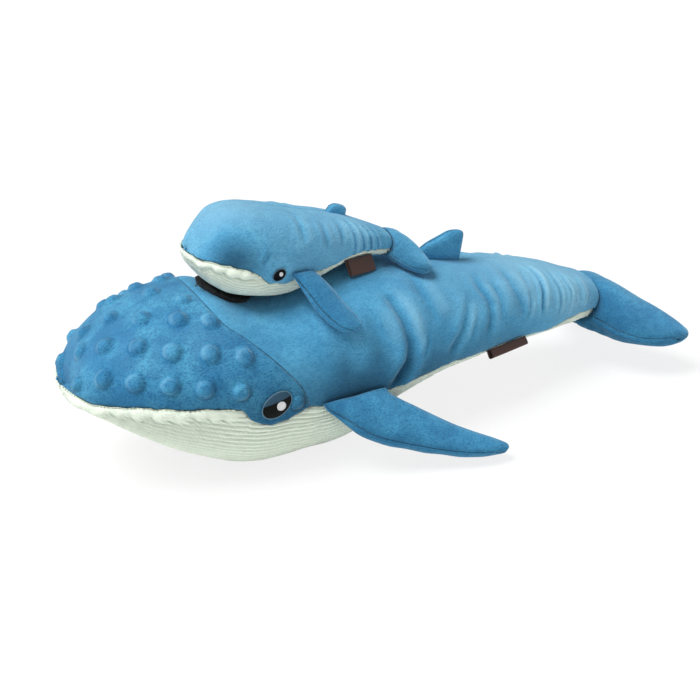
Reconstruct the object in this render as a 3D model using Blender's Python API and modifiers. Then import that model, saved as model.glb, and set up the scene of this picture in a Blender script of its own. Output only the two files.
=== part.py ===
"""Plush whale lying on its belly, with a calf that a hook-and-loop patch holds on its back.

Frame: the snouts point to -X, +Z is up, and the origin lies in the flat resting face
under the mother's belly. Lengths are in metres.
"""

import math

import bmesh
import bpy
from mathutils import Matrix, Vector
from mathutils.bvhtree import BVHTree

# Fabric, gaps and patches
SEAM_GAP = 0.0003
FABRIC = 0.0016
PATCH_THICKNESS = 0.0016
EYE_THICKNESS = 0.0012
LABEL_THICKNESS = 0.0012
FLAT_DEPTH = 0.0005
OVERRUN = 0.40

# Mother's body
MOTHER_LENGTH = 0.460
MOTHER_WIDTH = 0.160
MOTHER_HEIGHT = 0.129
MOTHER_NOSE_X = -0.166
MOTHER_RING_SIDES = 22

# Calf's body
CALF_LENGTH = 0.166
CALF_WIDTH = 0.080
CALF_HEIGHT = 0.0615
calf_seat_share = 0.2108
CALF_SEAT_X = calf_seat_share * CALF_LENGTH
CALF_RING_SIDES = 16
CALF_PITCH = math.radians(4.0)

# Hook-and-loop patches
LOOP_PATCH_RADIUS = 0.0255
HOOK_PATCH_RADIUS = 0.022
loop_patch_share = 0.2870
LOOP_PATCH_X = MOTHER_NOSE_X + loop_patch_share * MOTHER_LENGTH

# Flippers, measured along the root seam, then outwards from it
MOTHER_FLIPPER_ROOT = 0.052
MOTHER_FLIPPER_SPAN = 0.0725
MOTHER_FLIPPER_THICKNESS = 0.017
MOTHER_FLIPPER_SLOPE = math.radians(41.0)
MOTHER_FLIPPER_YAW = math.radians(3.5)
CALF_FLIPPER_ROOT = 0.019
CALF_FLIPPER_SPAN = 0.053
CALF_FLIPPER_THICKNESS = 0.0095
CALF_FLIPPER_SLOPE = math.radians(40.0)
CALF_FLIPPER_YAW = math.radians(9.5)

# Back fins
MOTHER_FIN_ROOT = 0.048
MOTHER_FIN_SPAN = 0.019
MOTHER_FIN_THICKNESS = 0.011
MOTHER_FIN_FALL = math.radians(5.6)
CALF_FIN_ROOT = 0.018
CALF_FIN_SPAN = 0.0050
CALF_FIN_THICKNESS = 0.0065
CALF_FIN_FALL = math.radians(14.0)

# Flukes and the round tail joints that they turn on: mother's share, then the calf's
tail_radius_shares = (0.1938, 0.1707)
fluke_thickness_shares = (1.640, 1.8095)
MOTHER_FLUKE_HALF_SPAN = 0.077
MOTHER_FLUKE_LENGTH = 0.076
MOTHER_TAIL_RADIUS = MOTHER_HEIGHT * tail_radius_shares[0]
MOTHER_FLUKE_THICKNESS = MOTHER_TAIL_RADIUS * fluke_thickness_shares[0]
MOTHER_FLUKE_DROOP = 0.0208
CALF_FLUKE_HALF_SPAN = 0.039
CALF_FLUKE_LENGTH = 0.036
CALF_TAIL_RADIUS = CALF_HEIGHT * tail_radius_shares[1]
CALF_FLUKE_THICKNESS = CALF_TAIL_RADIUS * fluke_thickness_shares[1]
CALF_FLUKE_DROOP = 0.0135

# Eyes: length and height
EYE_TILT = math.radians(31.0)
MOTHER_EYE = (0.024, 0.0175)
CALF_EYE = (0.0106, 0.0086)
EYE_SIDES = 20

# Sewn-in labels: length along the seam, depth out of it, and slope
MOTHER_LABEL = (0.040, 0.010)
CALF_LABEL = (0.024, 0.012)
LABEL_SLOPE = math.radians(58.0)

# Places on each body, in shares of its length behind the snout, its width and its height
mother_place_shares = {
    "flipper": (0.3652, 0.5138, 0.4302),
    "fin": (0.6130, 0.0, 0.9395),
    "tail_pivot": (0.9391, 0.0, 0.5155),
    "flukes": (0.9435, 0.0, 0.4290),
    "eye": (0.2900, 0.0, 0.4845),
    "label": (0.7045, 0.0, 0.4147),
}
calf_place_shares = {
    "flipper": (0.3990, 0.5050, 0.3008),
    "fin": (0.6400, 0.0, 0.8490),
    "tail_pivot": (0.9247, 0.0, 0.4120),
    "flukes": (0.8945, 0.0, 0.3850),
    "eye": (0.3430, 0.0, 0.3140),
    "label": (0.7108, 0.0, 0.3333),
}

# Shares of length, half width and height: ridge, widest level and keel of each section
mother_form_shares = (
    (0.007, 0.212, 0.628, 0.545, 0.482),
    (0.022, 0.378, 0.702, 0.540, 0.474),
    (0.052, 0.575, 0.798, 0.530, 0.412),
    (0.104, 0.770, 0.905, 0.512, 0.288),
    (0.154, 0.881, 0.978, 0.504, 0.172),
    (0.198, 0.944, 1.000, 0.496, 0.085),
    (0.239, 0.981, 0.990, 0.492, 0.024),
    (0.278, 1.000, 0.938, 0.488, 0.000),
    (0.317, 1.000, 0.911, 0.488, 0.000),
    (0.361, 1.000, 0.919, 0.488, 0.000),
    (0.404, 0.988, 0.950, 0.492, 0.000),
    (0.448, 0.975, 0.973, 0.496, 0.000),
    (0.491, 0.956, 0.981, 0.504, 0.088),
    (0.589, 0.863, 0.938, 0.527, 0.220),
    (0.698, 0.738, 0.874, 0.535, 0.283),
    (0.807, 0.575, 0.808, 0.520, 0.298),
    (0.904, 0.438, 0.724, 0.496, 0.318),
    (1.000, 0.300, 0.589, 0.450, 0.360),
)
calf_form_shares = (
    (0.012, 0.305, 0.640, 0.480, 0.350),
    (0.036, 0.525, 0.738, 0.480, 0.262),
    (0.084, 0.760, 0.868, 0.476, 0.132),
    (0.169, 0.945, 0.978, 0.470, 0.025),
    (0.277, 1.000, 0.996, 0.465, 0.000),
    (0.422, 0.950, 0.940, 0.465, -0.022),
    (0.572, 0.825, 0.862, 0.490, 0.075),
    (0.723, 0.625, 0.788, 0.500, 0.210),
    (0.825, 0.475, 0.688, 0.472, 0.240),
    (0.904, 0.375, 0.600, 0.423, 0.238),
    (1.000, 0.250, 0.504, 0.341, 0.228),
)

# Seams as shares of length and height: mouth and flank seam, and the seam behind the head
mother_flank_seam_shares = (
    (0.000, 0.578), (0.021, 0.564), (0.043, 0.555), (0.093, 0.557), (0.119, 0.551),
    (0.146, 0.540), (0.188, 0.524), (0.232, 0.496), (0.241, 0.470), (0.248, 0.426),
    (0.260, 0.390), (0.280, 0.367), (0.299, 0.369), (0.321, 0.395), (0.337, 0.417),
    (0.349, 0.421), (0.367, 0.411), (0.487, 0.398), (0.552, 0.410), (0.594, 0.423),
    (0.638, 0.435), (0.684, 0.432), (0.789, 0.395), (0.880, 0.362), (1.000, 0.345),
)
mother_head_seam_shares = (
    (0.217, 1.030), (0.235, 0.915), (0.261, 0.837), (0.289, 0.744), (0.313, 0.651),
    (0.333, 0.558), (0.342, 0.470), (0.345, 0.415),
)
calf_flank_seam_shares = (
    (0.000, 0.500), (0.029, 0.474), (0.054, 0.460), (0.119, 0.446), (0.164, 0.422),
    (0.217, 0.380), (0.249, 0.329), (0.301, 0.215), (0.360, 0.165), (0.421, 0.192),
    (0.480, 0.236), (0.560, 0.248), (0.643, 0.262), (0.700, 0.315), (0.783, 0.333),
    (0.904, 0.309), (1.000, 0.277),
)
UPPER_ROUNDNESS = 2.35
LOWER_ROUNDNESS = 3.0

# Limb rows as shares: span, front edge and rear edge by root length, thickness, sag by span
mother_flipper_shares = (
    (0.00, 0.00, 1.00, 0.20, 0.000),
    (0.06, 0.03, 1.04, 0.55, -0.016),
    (0.18, 0.17, 1.22, 0.88, -0.042),
    (0.43, 0.47, 1.63, 1.00, -0.075),
    (0.65, 1.02, 2.02, 0.96, -0.084),
    (0.84, 1.56, 2.37, 0.86, -0.058),
    (0.96, 1.98, 2.50, 0.68, -0.016),
    (1.00, 2.22, 2.46, 0.45, 0.000),
)
calf_flipper_shares = (
    (0.00, 0.00, 1.00, 0.37, 0.000),
    (0.10, 0.10, 1.19, 0.70, -0.010),
    (0.28, 0.25, 1.42, 1.00, -0.026),
    (0.52, 0.46, 1.61, 0.98, -0.036),
    (0.76, 0.77, 1.84, 0.84, -0.022),
    (0.93, 1.12, 1.87, 0.62, -0.006),
    (1.00, 1.44, 1.66, 0.40, 0.000),
)
fin_shares = (
    (0.00, 0.00, 1.00, 0.40, 0.000),
    (0.20, 0.13, 1.01, 0.80, 0.000),
    (0.50, 0.34, 1.02, 1.00, 0.000),
    (0.80, 0.58, 1.02, 0.80, 0.000),
    (1.00, 0.72, 0.98, 0.40, 0.000),
)

# Fluke rows as shares: half span, front and rear edge by length, thickness, droop
fluke_shares = (
    (0.00, 0.00, 0.76, 1.00, 0.00),
    (0.24, 0.01, 0.85, 0.88, 0.14),
    (0.46, 0.10, 0.98, 0.64, 0.54),
    (0.66, 0.23, 1.05, 0.48, 0.80),
    (0.84, 0.43, 1.09, 0.37, 0.92),
    (0.95, 0.62, 1.08, 0.28, 0.98),
    (1.00, 0.80, 1.04, 0.20, 1.00),
)
CHORD_STEPS = 6
SEAT_SAMPLES = 8
TAIL_STEPS = 12
PATCH_SIDES = 24
ROOT_LEANS = (math.radians(-60.0), math.radians(-30.0))
ROOT_ROWS = len(ROOT_LEANS) + 1
CROWN_POWER = 0.62
FLUKE_CREST_SHARE = 0.40


def clear_scene():
    for old in list(bpy.data.objects):
        bpy.data.objects.remove(old)


def new_collection(name):
    found = bpy.data.collections.new(name)
    bpy.context.scene.collection.children.link(found)
    return found


def principled(name, colour, roughness):
    made = bpy.data.materials.new(name)
    made.use_nodes = True
    shader = made.node_tree.nodes["Principled BSDF"]
    shader.inputs["Base Color"].default_value = (*colour, 1.0)
    shader.inputs["Roughness"].default_value = roughness
    shader.inputs["Metallic"].default_value = 0.0
    made.diffuse_color = (*colour, 1.0)
    return made


def place_mesh(name, mesh, material, parent):
    made = bpy.data.objects.new(name, mesh)
    made.data.materials.append(material)
    parts.objects.link(made)
    made.parent = parent
    return made


def place_cutter(name, mesh, parent):
    made = bpy.data.objects.new(name, mesh)
    cutters.objects.link(made)
    made.parent = parent
    made.hide_render = True
    made.display_type = "WIRE"
    return made


def place_empty(name, place, turn, parent):
    made = bpy.data.objects.new(name, None)
    parts.objects.link(made)
    made.parent = parent
    made.location = place
    made.rotation_euler = turn
    return made


def mesh_from(name, form):
    mesh = bpy.data.meshes.new(name)
    form.to_mesh(mesh)
    form.free()
    mesh.shade_smooth()
    return mesh


def cut(target, cutter, operation="DIFFERENCE"):
    step = target.modifiers.new(cutter.name, "BOOLEAN")
    step.operation = operation
    step.object = cutter
    step.solver = "EXACT"


def body_ring(shares, row, size, base):
    """One closed section of a body, as points around it from the whale's right side."""
    length, width, height, sides = size
    along, half, ridge, widest, keel = row
    points = []
    for index in range(sides):
        angle = math.tau * index / sides
        across, up = math.cos(angle), math.sin(angle)
        power = 2.0 / (UPPER_ROUNDNESS if up >= 0 else LOWER_ROUNDNESS)
        reach = (ridge - widest) if up >= 0 else (widest - keel)
        side = math.copysign(abs(across) ** power, across) * half * width / 2
        level = (widest + math.copysign(abs(up) ** power, up) * reach) * height
        points.append(Vector((base[0] + along * length, side, base[1] + level)))
    return points


def body_form(shares, size, base, growth, capped=True):
    """A body as a loft of unlike sections: a snout pole, the rings and a flat rear end."""
    form = bmesh.new()
    rings = [[form.verts.new(p) for p in body_ring(shares, row, size, base)] for row in shares]
    snout = form.verts.new((base[0], 0.0, base[1] + shares[0][3] * size[2]))
    sides = size[3]
    for index in range(sides):
        following = (index + 1) % sides
        form.faces.new((snout, rings[0][following], rings[0][index]))
        for front, back in zip(rings, rings[1:]):
            form.faces.new((front[index], front[following], back[following], back[index]))
    bmesh.ops.triangulate(form, faces=form.faces, quad_method="FIXED")
    bmesh.ops.recalc_face_normals(form, faces=form.faces)
    form.normal_update()
    moves = [(vert, vert.normal.copy()) for vert in form.verts]
    for vert, normal in moves:
        vert.co += normal * growth
    if capped:
        form.faces.new(rings[-1])
        bmesh.ops.recalc_face_normals(form, faces=form.faces)
    return form


def prism(name, outline, parent):
    """A cutter: an outline in the XZ plane, as wide as the overrun on both sides."""
    form = bmesh.new()
    face = form.faces.new([form.verts.new((x, -OVERRUN, z)) for x, z in outline])
    pushed = bmesh.ops.extrude_face_region(form, geom=[face])
    moved = [item for item in pushed["geom"] if isinstance(item, bmesh.types.BMVert)]
    bmesh.ops.translate(form, verts=moved, vec=(0.0, 2 * OVERRUN, 0.0))
    bmesh.ops.recalc_face_normals(form, faces=form.faces)
    return place_cutter(name, mesh_from(name, form), parent)


def block(name, low, high, parent):
    form = bmesh.new()
    bmesh.ops.create_cube(form, size=1.0)
    for vert in form.verts:
        vert.co = Vector(
            low[axis] if vert.co[axis] < 0 else high[axis] for axis in range(3)
        )
    return place_cutter(name, mesh_from(name, form), parent)


def offset_path(path, distance):
    """The path moved sideways in its plane, to the left of its direction."""
    moved = []
    for index, (x, z) in enumerate(path):
        before = path[max(index - 1, 0)]
        after = path[min(index + 1, len(path) - 1)]
        run = Vector((after[0] - before[0], after[1] - before[1])).normalized()
        moved.append((x - run.y * distance, z + run.x * distance))
    return moved


def seam_path(shares, length, height, base):
    return [(base[0] + along * length, base[1] + level * height) for along, level in shares]


def flank_cutters(name, path, parent):
    """Solids that remove what lies below the flank seam and what lies above it."""
    low, high = -OVERRUN, OVERRUN
    cutters_made = []
    for label, shift, far in (("under", SEAM_GAP / 2, low), ("over", -SEAM_GAP / 2, high)):
        edge = offset_path(path, shift)
        outline = [(edge[0][0] - OVERRUN, edge[0][1]), *edge, (edge[-1][0] + OVERRUN, edge[-1][1])]
        outline += [(edge[-1][0] + OVERRUN, far), (edge[0][0] - OVERRUN, far)]
        cutters_made.append(prism(f"{name}_{label}_flank_seam", outline, parent))
    return cutters_made


def head_cutters(path, parent):
    """Solids that remove what lies behind the head seam and what lies ahead of it."""
    made = []
    for label, shift, far in (("behind", SEAM_GAP / 2, OVERRUN), ("ahead", -SEAM_GAP / 2, -OVERRUN)):
        edge = offset_path(path, -shift)
        outline = [(edge[0][0], edge[0][1] + OVERRUN), *edge, (edge[-1][0], edge[-1][1] - OVERRUN)]
        outline += [(edge[-1][0] + far, edge[-1][1] - OVERRUN)]
        outline += [(edge[-1][0] + far, edge[0][1] + OVERRUN)]
        made.append(prism(f"mother_{label}_head_seam", outline, parent))
    return made


def side_cutters(name, parent):
    half = SEAM_GAP / 2
    right = block(f"{name}_right_side", (-OVERRUN, -half, -OVERRUN), (OVERRUN * 2, OVERRUN, OVERRUN), parent)
    left = block(f"{name}_left_side", (-OVERRUN, -OVERRUN, -OVERRUN), (OVERRUN * 2, half, OVERRUN), parent)
    return right, left


def tail_cutters(name, pivot, radius, parent):
    """The round tail joint: one cutter ends the body, the other hollows the flukes' root."""
    turns = [math.pi * (index / TAIL_STEPS - 0.5) for index in range(TAIL_STEPS + 1)]
    body_end = [(pivot[0] + radius * math.cos(t), pivot[2] + radius * math.sin(t)) for t in turns]
    far_x = pivot[0] + OVERRUN
    outline = [(pivot[0], pivot[2] - OVERRUN), *body_end, (pivot[0], pivot[2] + OVERRUN)]
    outline += [(far_x, pivot[2] + OVERRUN), (far_x, pivot[2] - OVERRUN)]
    ends_body = prism(f"{name}_tail_end", outline, parent)
    grown = radius + SEAM_GAP
    seat = [(pivot[0] + grown * math.cos(t), pivot[2] + grown * math.sin(t)) for t in turns]
    near_x = pivot[0] - OVERRUN
    face_x = pivot[0] + SEAM_GAP
    outline = [(near_x, pivot[2] - OVERRUN), (face_x, pivot[2] - OVERRUN), *seat[1:-1]]
    outline += [(face_x, pivot[2] + OVERRUN), (near_x, pivot[2] + OVERRUN)]
    return ends_body, prism(f"{name}_fluke_root", outline, parent)


def places_on(shares, size, nose_x):
    """Each named place on a body in metres, as a plain tuple."""
    return {
        word: (nose_x + along * size[0], across * size[1], level * size[2])
        for word, (along, across, level) in shares.items()
    }


def round_patch(name, place, radius, low, high, inner, outer, material, parent):
    """A round patch that follows a body: the cylinder between two grown copies of the form."""
    form = bmesh.new()
    bmesh.ops.create_cone(
        form, cap_ends=True, segments=PATCH_SIDES, radius1=radius, radius2=radius, depth=high - low
    )
    bmesh.ops.translate(form, verts=form.verts, vec=(place, 0.0, (low + high) / 2))
    made = place_mesh(name, mesh_from(name, form), material, parent)
    cut(made, outer, "INTERSECT")
    cut(made, inner)
    return made


def eye(name, size, place, side, inner, outer, material, parent):
    """An oval sewn eye that follows the cheek, tilted up towards the rear."""
    form = bmesh.new()
    bmesh.ops.create_cone(
        form, cap_ends=True, segments=EYE_SIDES, radius1=size[0] / 2, radius2=size[0] / 2, depth=OVERRUN
    )
    squash = Matrix.Diagonal((1.0, size[1] / size[0], 1.0, 1.0))
    upright = Matrix.Rotation(math.radians(90.0), 4, "X")
    tilt = Matrix.Rotation(-EYE_TILT, 4, "Y")
    shift = Matrix.Translation((place[0], side * OVERRUN / 2, place[2]))
    bmesh.ops.transform(form, matrix=shift @ tilt @ upright @ squash, verts=form.verts)
    made = place_mesh(name, mesh_from(name, form), material, parent)
    cut(made, outer, "INTERSECT")
    cut(made, inner)
    return made


def skin_panel(name, form, cutters_used, material, parent):
    """One sewn fabric panel: the body's surface with its thickness, cut along its seams."""
    made = place_mesh(name, mesh_from(name, form), material, parent)
    cloth = made.modifiers.new("fabric", "SOLIDIFY")
    cloth.thickness = FABRIC
    cloth.offset = -1.0
    for cutter in cutters_used:
        cut(made, cutter)
    return made


def slab(upper, lower):
    """A closed solid between two grids of points of equal size."""
    form = bmesh.new()
    top = [[form.verts.new(p) for p in row] for row in upper]
    low = [[form.verts.new(p) for p in row] for row in lower]
    rows, columns = len(top), len(top[0])
    for i in range(rows - 1):
        for j in range(columns - 1):
            form.faces.new((top[i][j], top[i][j + 1], top[i + 1][j + 1], top[i + 1][j]))
            form.faces.new((low[i][j], low[i + 1][j], low[i + 1][j + 1], low[i][j + 1]))
    border = [(0, j) for j in range(columns)] + [(i, columns - 1) for i in range(1, rows)]
    border += [(rows - 1, j) for j in range(columns - 2, -1, -1)] + [(i, 0) for i in range(rows - 2, 0, -1)]
    for (a, b), (c, d) in zip(border, border[1:] + border[:1]):
        form.faces.new((top[a][b], low[a][b], low[c][d], top[c][d]))
    bmesh.ops.recalc_face_normals(form, faces=form.faces)
    return form


def chord_shares():
    return [index / CHORD_STEPS for index in range(CHORD_STEPS + 1)]


def crown(share, crest=0.5):
    """Height of a stuffed section across its chord: none at the sewn edges, full at the crest."""
    bent = share ** (math.log(0.5) / math.log(crest))
    return max(4.0 * bent * (1.0 - bent), 0.0) ** CROWN_POWER


def limb_grid(rows, root, span, thickness, roots):
    """Middle points and half thicknesses over a limb, with its root edge rounded about the axis."""
    rim = FABRIC + SEAM_GAP / 2
    grid = []
    for turn in ROOT_LEANS:
        grid.append([
            (Vector((u * root, r * math.sin(turn), 0.0)), r * math.cos(turn))
            for u, r in zip(chord_shares(), roots)
        ])
    for number, (along, front, rear, swell, sag) in enumerate(rows):
        line = []
        for u, r in zip(chord_shares(), roots):
            place = Vector(((front + (rear - front) * u) * root, along * span, sag * span))
            full = rim + (swell * thickness / 2 - rim) * crown(u)
            line.append((place, r if number == 0 else max(full, rim)))
        grid.append(line)
    return grid


def limb_pieces(name, faces, grid, first_filled, materials, holder, filled=True):
    """Two fabric faces that meet in a rim seam, and the filling between them."""
    up = Vector((0.0, 0.0, 1.0))
    for label, sign in zip(faces, (1.0, -1.0)):
        outer = [[place + up * half * sign for place, half in line] for line in grid]
        inner = [
            [place + up * max(half - FABRIC, SEAM_GAP / 2) * sign for place, half in line]
            for line in grid
        ]
        place_mesh(f"{name}_{label}", mesh_from(name, slab(outer, inner)), materials[0], holder)
    if filled:
        core = [[(place, half - FABRIC - SEAM_GAP) for place, half in line[1:-1]] for line in grid]
        core = [line for line in core[first_filled:] if min(half for _, half in line) > SEAM_GAP]
        outer = [[place + up * half for place, half in line] for line in core]
        inner = [[place - up * half for place, half in line] for line in core]
        place_mesh(f"{name}_filling", mesh_from(name, slab(outer, inner)), materials[1], holder)


def root_radii(axis_points, surface):
    """The root's rounding at each point of its axis, which just clears the body."""
    return [surface.find_nearest(point)[3] - SEAM_GAP for point in axis_points]


def root_axis_points(matrix, root):
    return [matrix @ Vector((u * root, 0.0, 0.0)) for u in chord_shares()]


def mirrored(place, side):
    return (place[0], place[1] * side, place[2])


def flipper(name, side, rows, size, place, slope, yaw, surface, materials, parent):
    """A flipper on its root seam; side is -1 for the whale's left and 1 for its right."""
    root, span, thickness = size
    turn = Matrix.Rotation(-yaw * side, 4, "Z") @ Matrix.Rotation(-slope * side, 4, "X")
    matrix = Matrix.Translation(mirrored(place, side)) @ turn
    roots = root_radii(root_axis_points(matrix, root), surface)
    grid = limb_grid(rows, root, span, thickness, roots)
    grid = [[(Vector((p.x, p.y * side, p.z)), half) for p, half in line] for line in grid]
    holder = place_empty(f"{name}_axis", matrix.to_translation(), matrix.to_euler(), parent)
    limb_pieces(name, ("upper", "lower"), grid, ROOT_ROWS, materials, holder)


def back_fin(name, size, place, fall, filled, surface, materials, parent):
    """A fin that stands on the back, folding to either side about its root seam."""
    root, span, thickness = size
    turn = Matrix.Rotation(fall, 4, "Y") @ Matrix.Rotation(math.radians(90.0), 4, "X")
    matrix = Matrix.Translation(place) @ turn
    roots = root_radii(root_axis_points(matrix, root), surface)
    grid = limb_grid(fin_shares, root, span, thickness, roots)
    holder = place_empty(f"{name}_axis", matrix.to_translation(), matrix.to_euler(), parent)
    limb_pieces(name, ("left", "right"), grid, ROOT_ROWS, materials, holder, filled)


def fluke_grid(size, place):
    """Middle points and half thicknesses from one fluke tip to the other."""
    half_span, length, thickness, droop = size
    rim = FABRIC + SEAM_GAP / 2
    order = [(-1.0, row) for row in reversed(fluke_shares[1:])] + [(1.0, row) for row in fluke_shares]
    grid = []
    for side, (across, front, rear, swell, fall) in order:
        crest = FLUKE_CREST_SHARE + (0.5 - FLUKE_CREST_SHARE) * across
        line = []
        for u in chord_shares():
            x = place[0] + (front + (rear - front) * u) * length
            full = rim + max(swell * thickness / 2 - rim, 0.0) * crown(u, crest)
            middle = Vector((x, side * across * half_span, place[2] - fall * droop))
            line.append((middle, full))
        grid.append(line)
    return grid


def flukes(name, size, place, pivot, root_cutter, materials, parent):
    """Both flukes in one piece, hollowed at the root to turn on the round end of the tail."""
    holder = place_empty(f"{name}_axis", pivot, (0.0, 0.0, 0.0), parent)
    grid = [[(middle - Vector(pivot), half) for middle, half in line] for line in fluke_grid(size, place)]
    limb_pieces(name, ("top", "bottom"), grid, 0, materials, holder)
    for made in holder.children:
        cut(made, root_cutter)


def label(name, size, place, depth, slope, surface, material, parent):
    """A folded ribbon label sewn into the flank seam on the whale's left."""
    inwards = Vector((0.0, 1.0, 0.0))
    near = surface.ray_cast(Vector((place[0], -depth, place[2])), inwards)
    behind = surface.ray_cast(Vector((place[0] + size[0], -depth, place[2])), inwards)
    run = (behind[0] - near[0]).normalized()
    out = Vector((0.0, -math.cos(slope), -math.sin(slope)))
    out = (out - run * out.dot(run)).normalized()
    turn = Matrix((run, -out, run.cross(-out))).transposed().to_4x4()
    start = near[0] + out * (SEAM_GAP + LABEL_THICKNESS / 2)
    form = bmesh.new()
    bmesh.ops.create_cube(form, size=1.0)
    scale = Matrix.Diagonal((size[0], size[1], LABEL_THICKNESS, 1.0))
    shift = Matrix.Translation((size[0] / 2, -size[1] / 2, 0.0))
    bmesh.ops.transform(form, matrix=shift @ scale, verts=form.verts)
    holder = place_empty(f"{name}_axis", start, turn.to_euler(), parent)
    made = place_mesh(name, mesh_from(name, form), material, holder)
    fold = made.modifiers.new("fold", "BEVEL")
    fold.width = LABEL_THICKNESS / 4
    fold.segments = 1


def mother():
    """The large whale: a head panel, two back panels and a belly panel round the stuffing."""
    size = (MOTHER_LENGTH, MOTHER_WIDTH, MOTHER_HEIGHT, MOTHER_RING_SIDES)
    base = (MOTHER_NOSE_X, -FLAT_DEPTH)
    shares = mother_form_shares
    places = places_on(mother_place_shares, size, MOTHER_NOSE_X)

    def form(growth, capped=True):
        return body_form(shares, size, base, growth, capped)

    flank = seam_path(mother_flank_seam_shares, MOTHER_LENGTH, MOTHER_HEIGHT, base)
    head = seam_path(mother_head_seam_shares, MOTHER_LENGTH, MOTHER_HEIGHT, base)
    under, over = flank_cutters("mother", flank, None)
    behind, ahead = head_cutters(head, None)
    not_left, not_right = side_cutters("mother", None)
    tail_end, fluke_root = tail_cutters("mother", places["tail_pivot"], MOTHER_TAIL_RADIUS, None)
    floor = block("floor", (-OVERRUN, -OVERRUN, -OVERRUN), (OVERRUN * 2, OVERRUN, 0.0), None)

    skin_panel("mother_head_panel", form(0.0, False), (under, behind), dotted_plush, None)
    skin_panel("mother_back_left", form(0.0, False), (under, ahead, not_left, tail_end), blue_plush, None)
    skin_panel("mother_back_right", form(0.0, False), (under, ahead, not_right, tail_end), blue_plush, None)
    skin_panel("mother_belly_panel", form(0.0, False), (over, tail_end, floor), ribbed_plush, None)
    core_mesh = mesh_from("mother_stuffing", form(-FABRIC - SEAM_GAP))
    core = place_mesh("mother_stuffing", core_mesh, filling, None)
    cut(core, tail_end)

    surface = BVHTree.FromBMesh(form(0.0))
    over_gap = place_cutter("mother_over_gap", mesh_from("mother_over_gap", form(SEAM_GAP)), None)
    over_patch = place_cutter(
        "mother_over_patch", mesh_from("mother_over_patch", form(SEAM_GAP + PATCH_THICKNESS)), None
    )
    over_eye = place_cutter(
        "mother_over_eye", mesh_from("mother_over_eye", form(SEAM_GAP + EYE_THICKNESS)), None
    )
    round_patch(
        "mother_loop_patch", LOOP_PATCH_X, LOOP_PATCH_RADIUS, MOTHER_HEIGHT / 2, MOTHER_HEIGHT * 2,
        over_gap, over_patch, hook_and_loop, None,
    )
    flipper_size = (MOTHER_FLIPPER_ROOT, MOTHER_FLIPPER_SPAN, MOTHER_FLIPPER_THICKNESS)
    for word, side in (("left", -1.0), ("right", 1.0)):
        eye(f"mother_eye_{word}", MOTHER_EYE, places["eye"], side, over_gap, over_eye, eye_thread, None)
        flipper(
            f"mother_flipper_{word}", side, mother_flipper_shares, flipper_size, places["flipper"],
            MOTHER_FLIPPER_SLOPE, MOTHER_FLIPPER_YAW, surface, (blue_plush, filling), None,
        )
    fin_size = (MOTHER_FIN_ROOT, MOTHER_FIN_SPAN, MOTHER_FIN_THICKNESS)
    back_fin("mother_fin", fin_size, places["fin"], MOTHER_FIN_FALL, True, surface,
             (blue_plush, filling), None)
    fluke_size = (MOTHER_FLUKE_HALF_SPAN, MOTHER_FLUKE_LENGTH, MOTHER_FLUKE_THICKNESS, MOTHER_FLUKE_DROOP)
    flukes("mother_flukes", fluke_size, places["flukes"], places["tail_pivot"], fluke_root,
           (blue_plush, filling), None)
    label("mother_label", MOTHER_LABEL, places["label"], MOTHER_WIDTH, LABEL_SLOPE, surface, ribbon, None)
    return surface


def seat_height(mother_surface, calf_surface):
    """Height of the calf's frame at which both patches just fit between the two whales."""
    stack = 2 * PATCH_THICKNESS + 3 * SEAM_GAP
    heights = []
    for index in range(SEAT_SAMPLES + 1):
        along = (2.0 * index / SEAT_SAMPLES - 1.0) * HOOK_PATCH_RADIUS
        back = mother_surface.ray_cast(Vector((LOOP_PATCH_X + along, 0.0, OVERRUN)), Vector((0.0, 0.0, -1.0)))
        keel = calf_surface.ray_cast(Vector((CALF_SEAT_X + along, 0.0, -OVERRUN)), Vector((0.0, 0.0, 1.0)))
        drop = keel[0].x * math.sin(CALF_PITCH) - keel[0].z * math.cos(CALF_PITCH)
        heights.append(back[0].z + stack + drop)
    return max(heights) + SEAM_GAP


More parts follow.
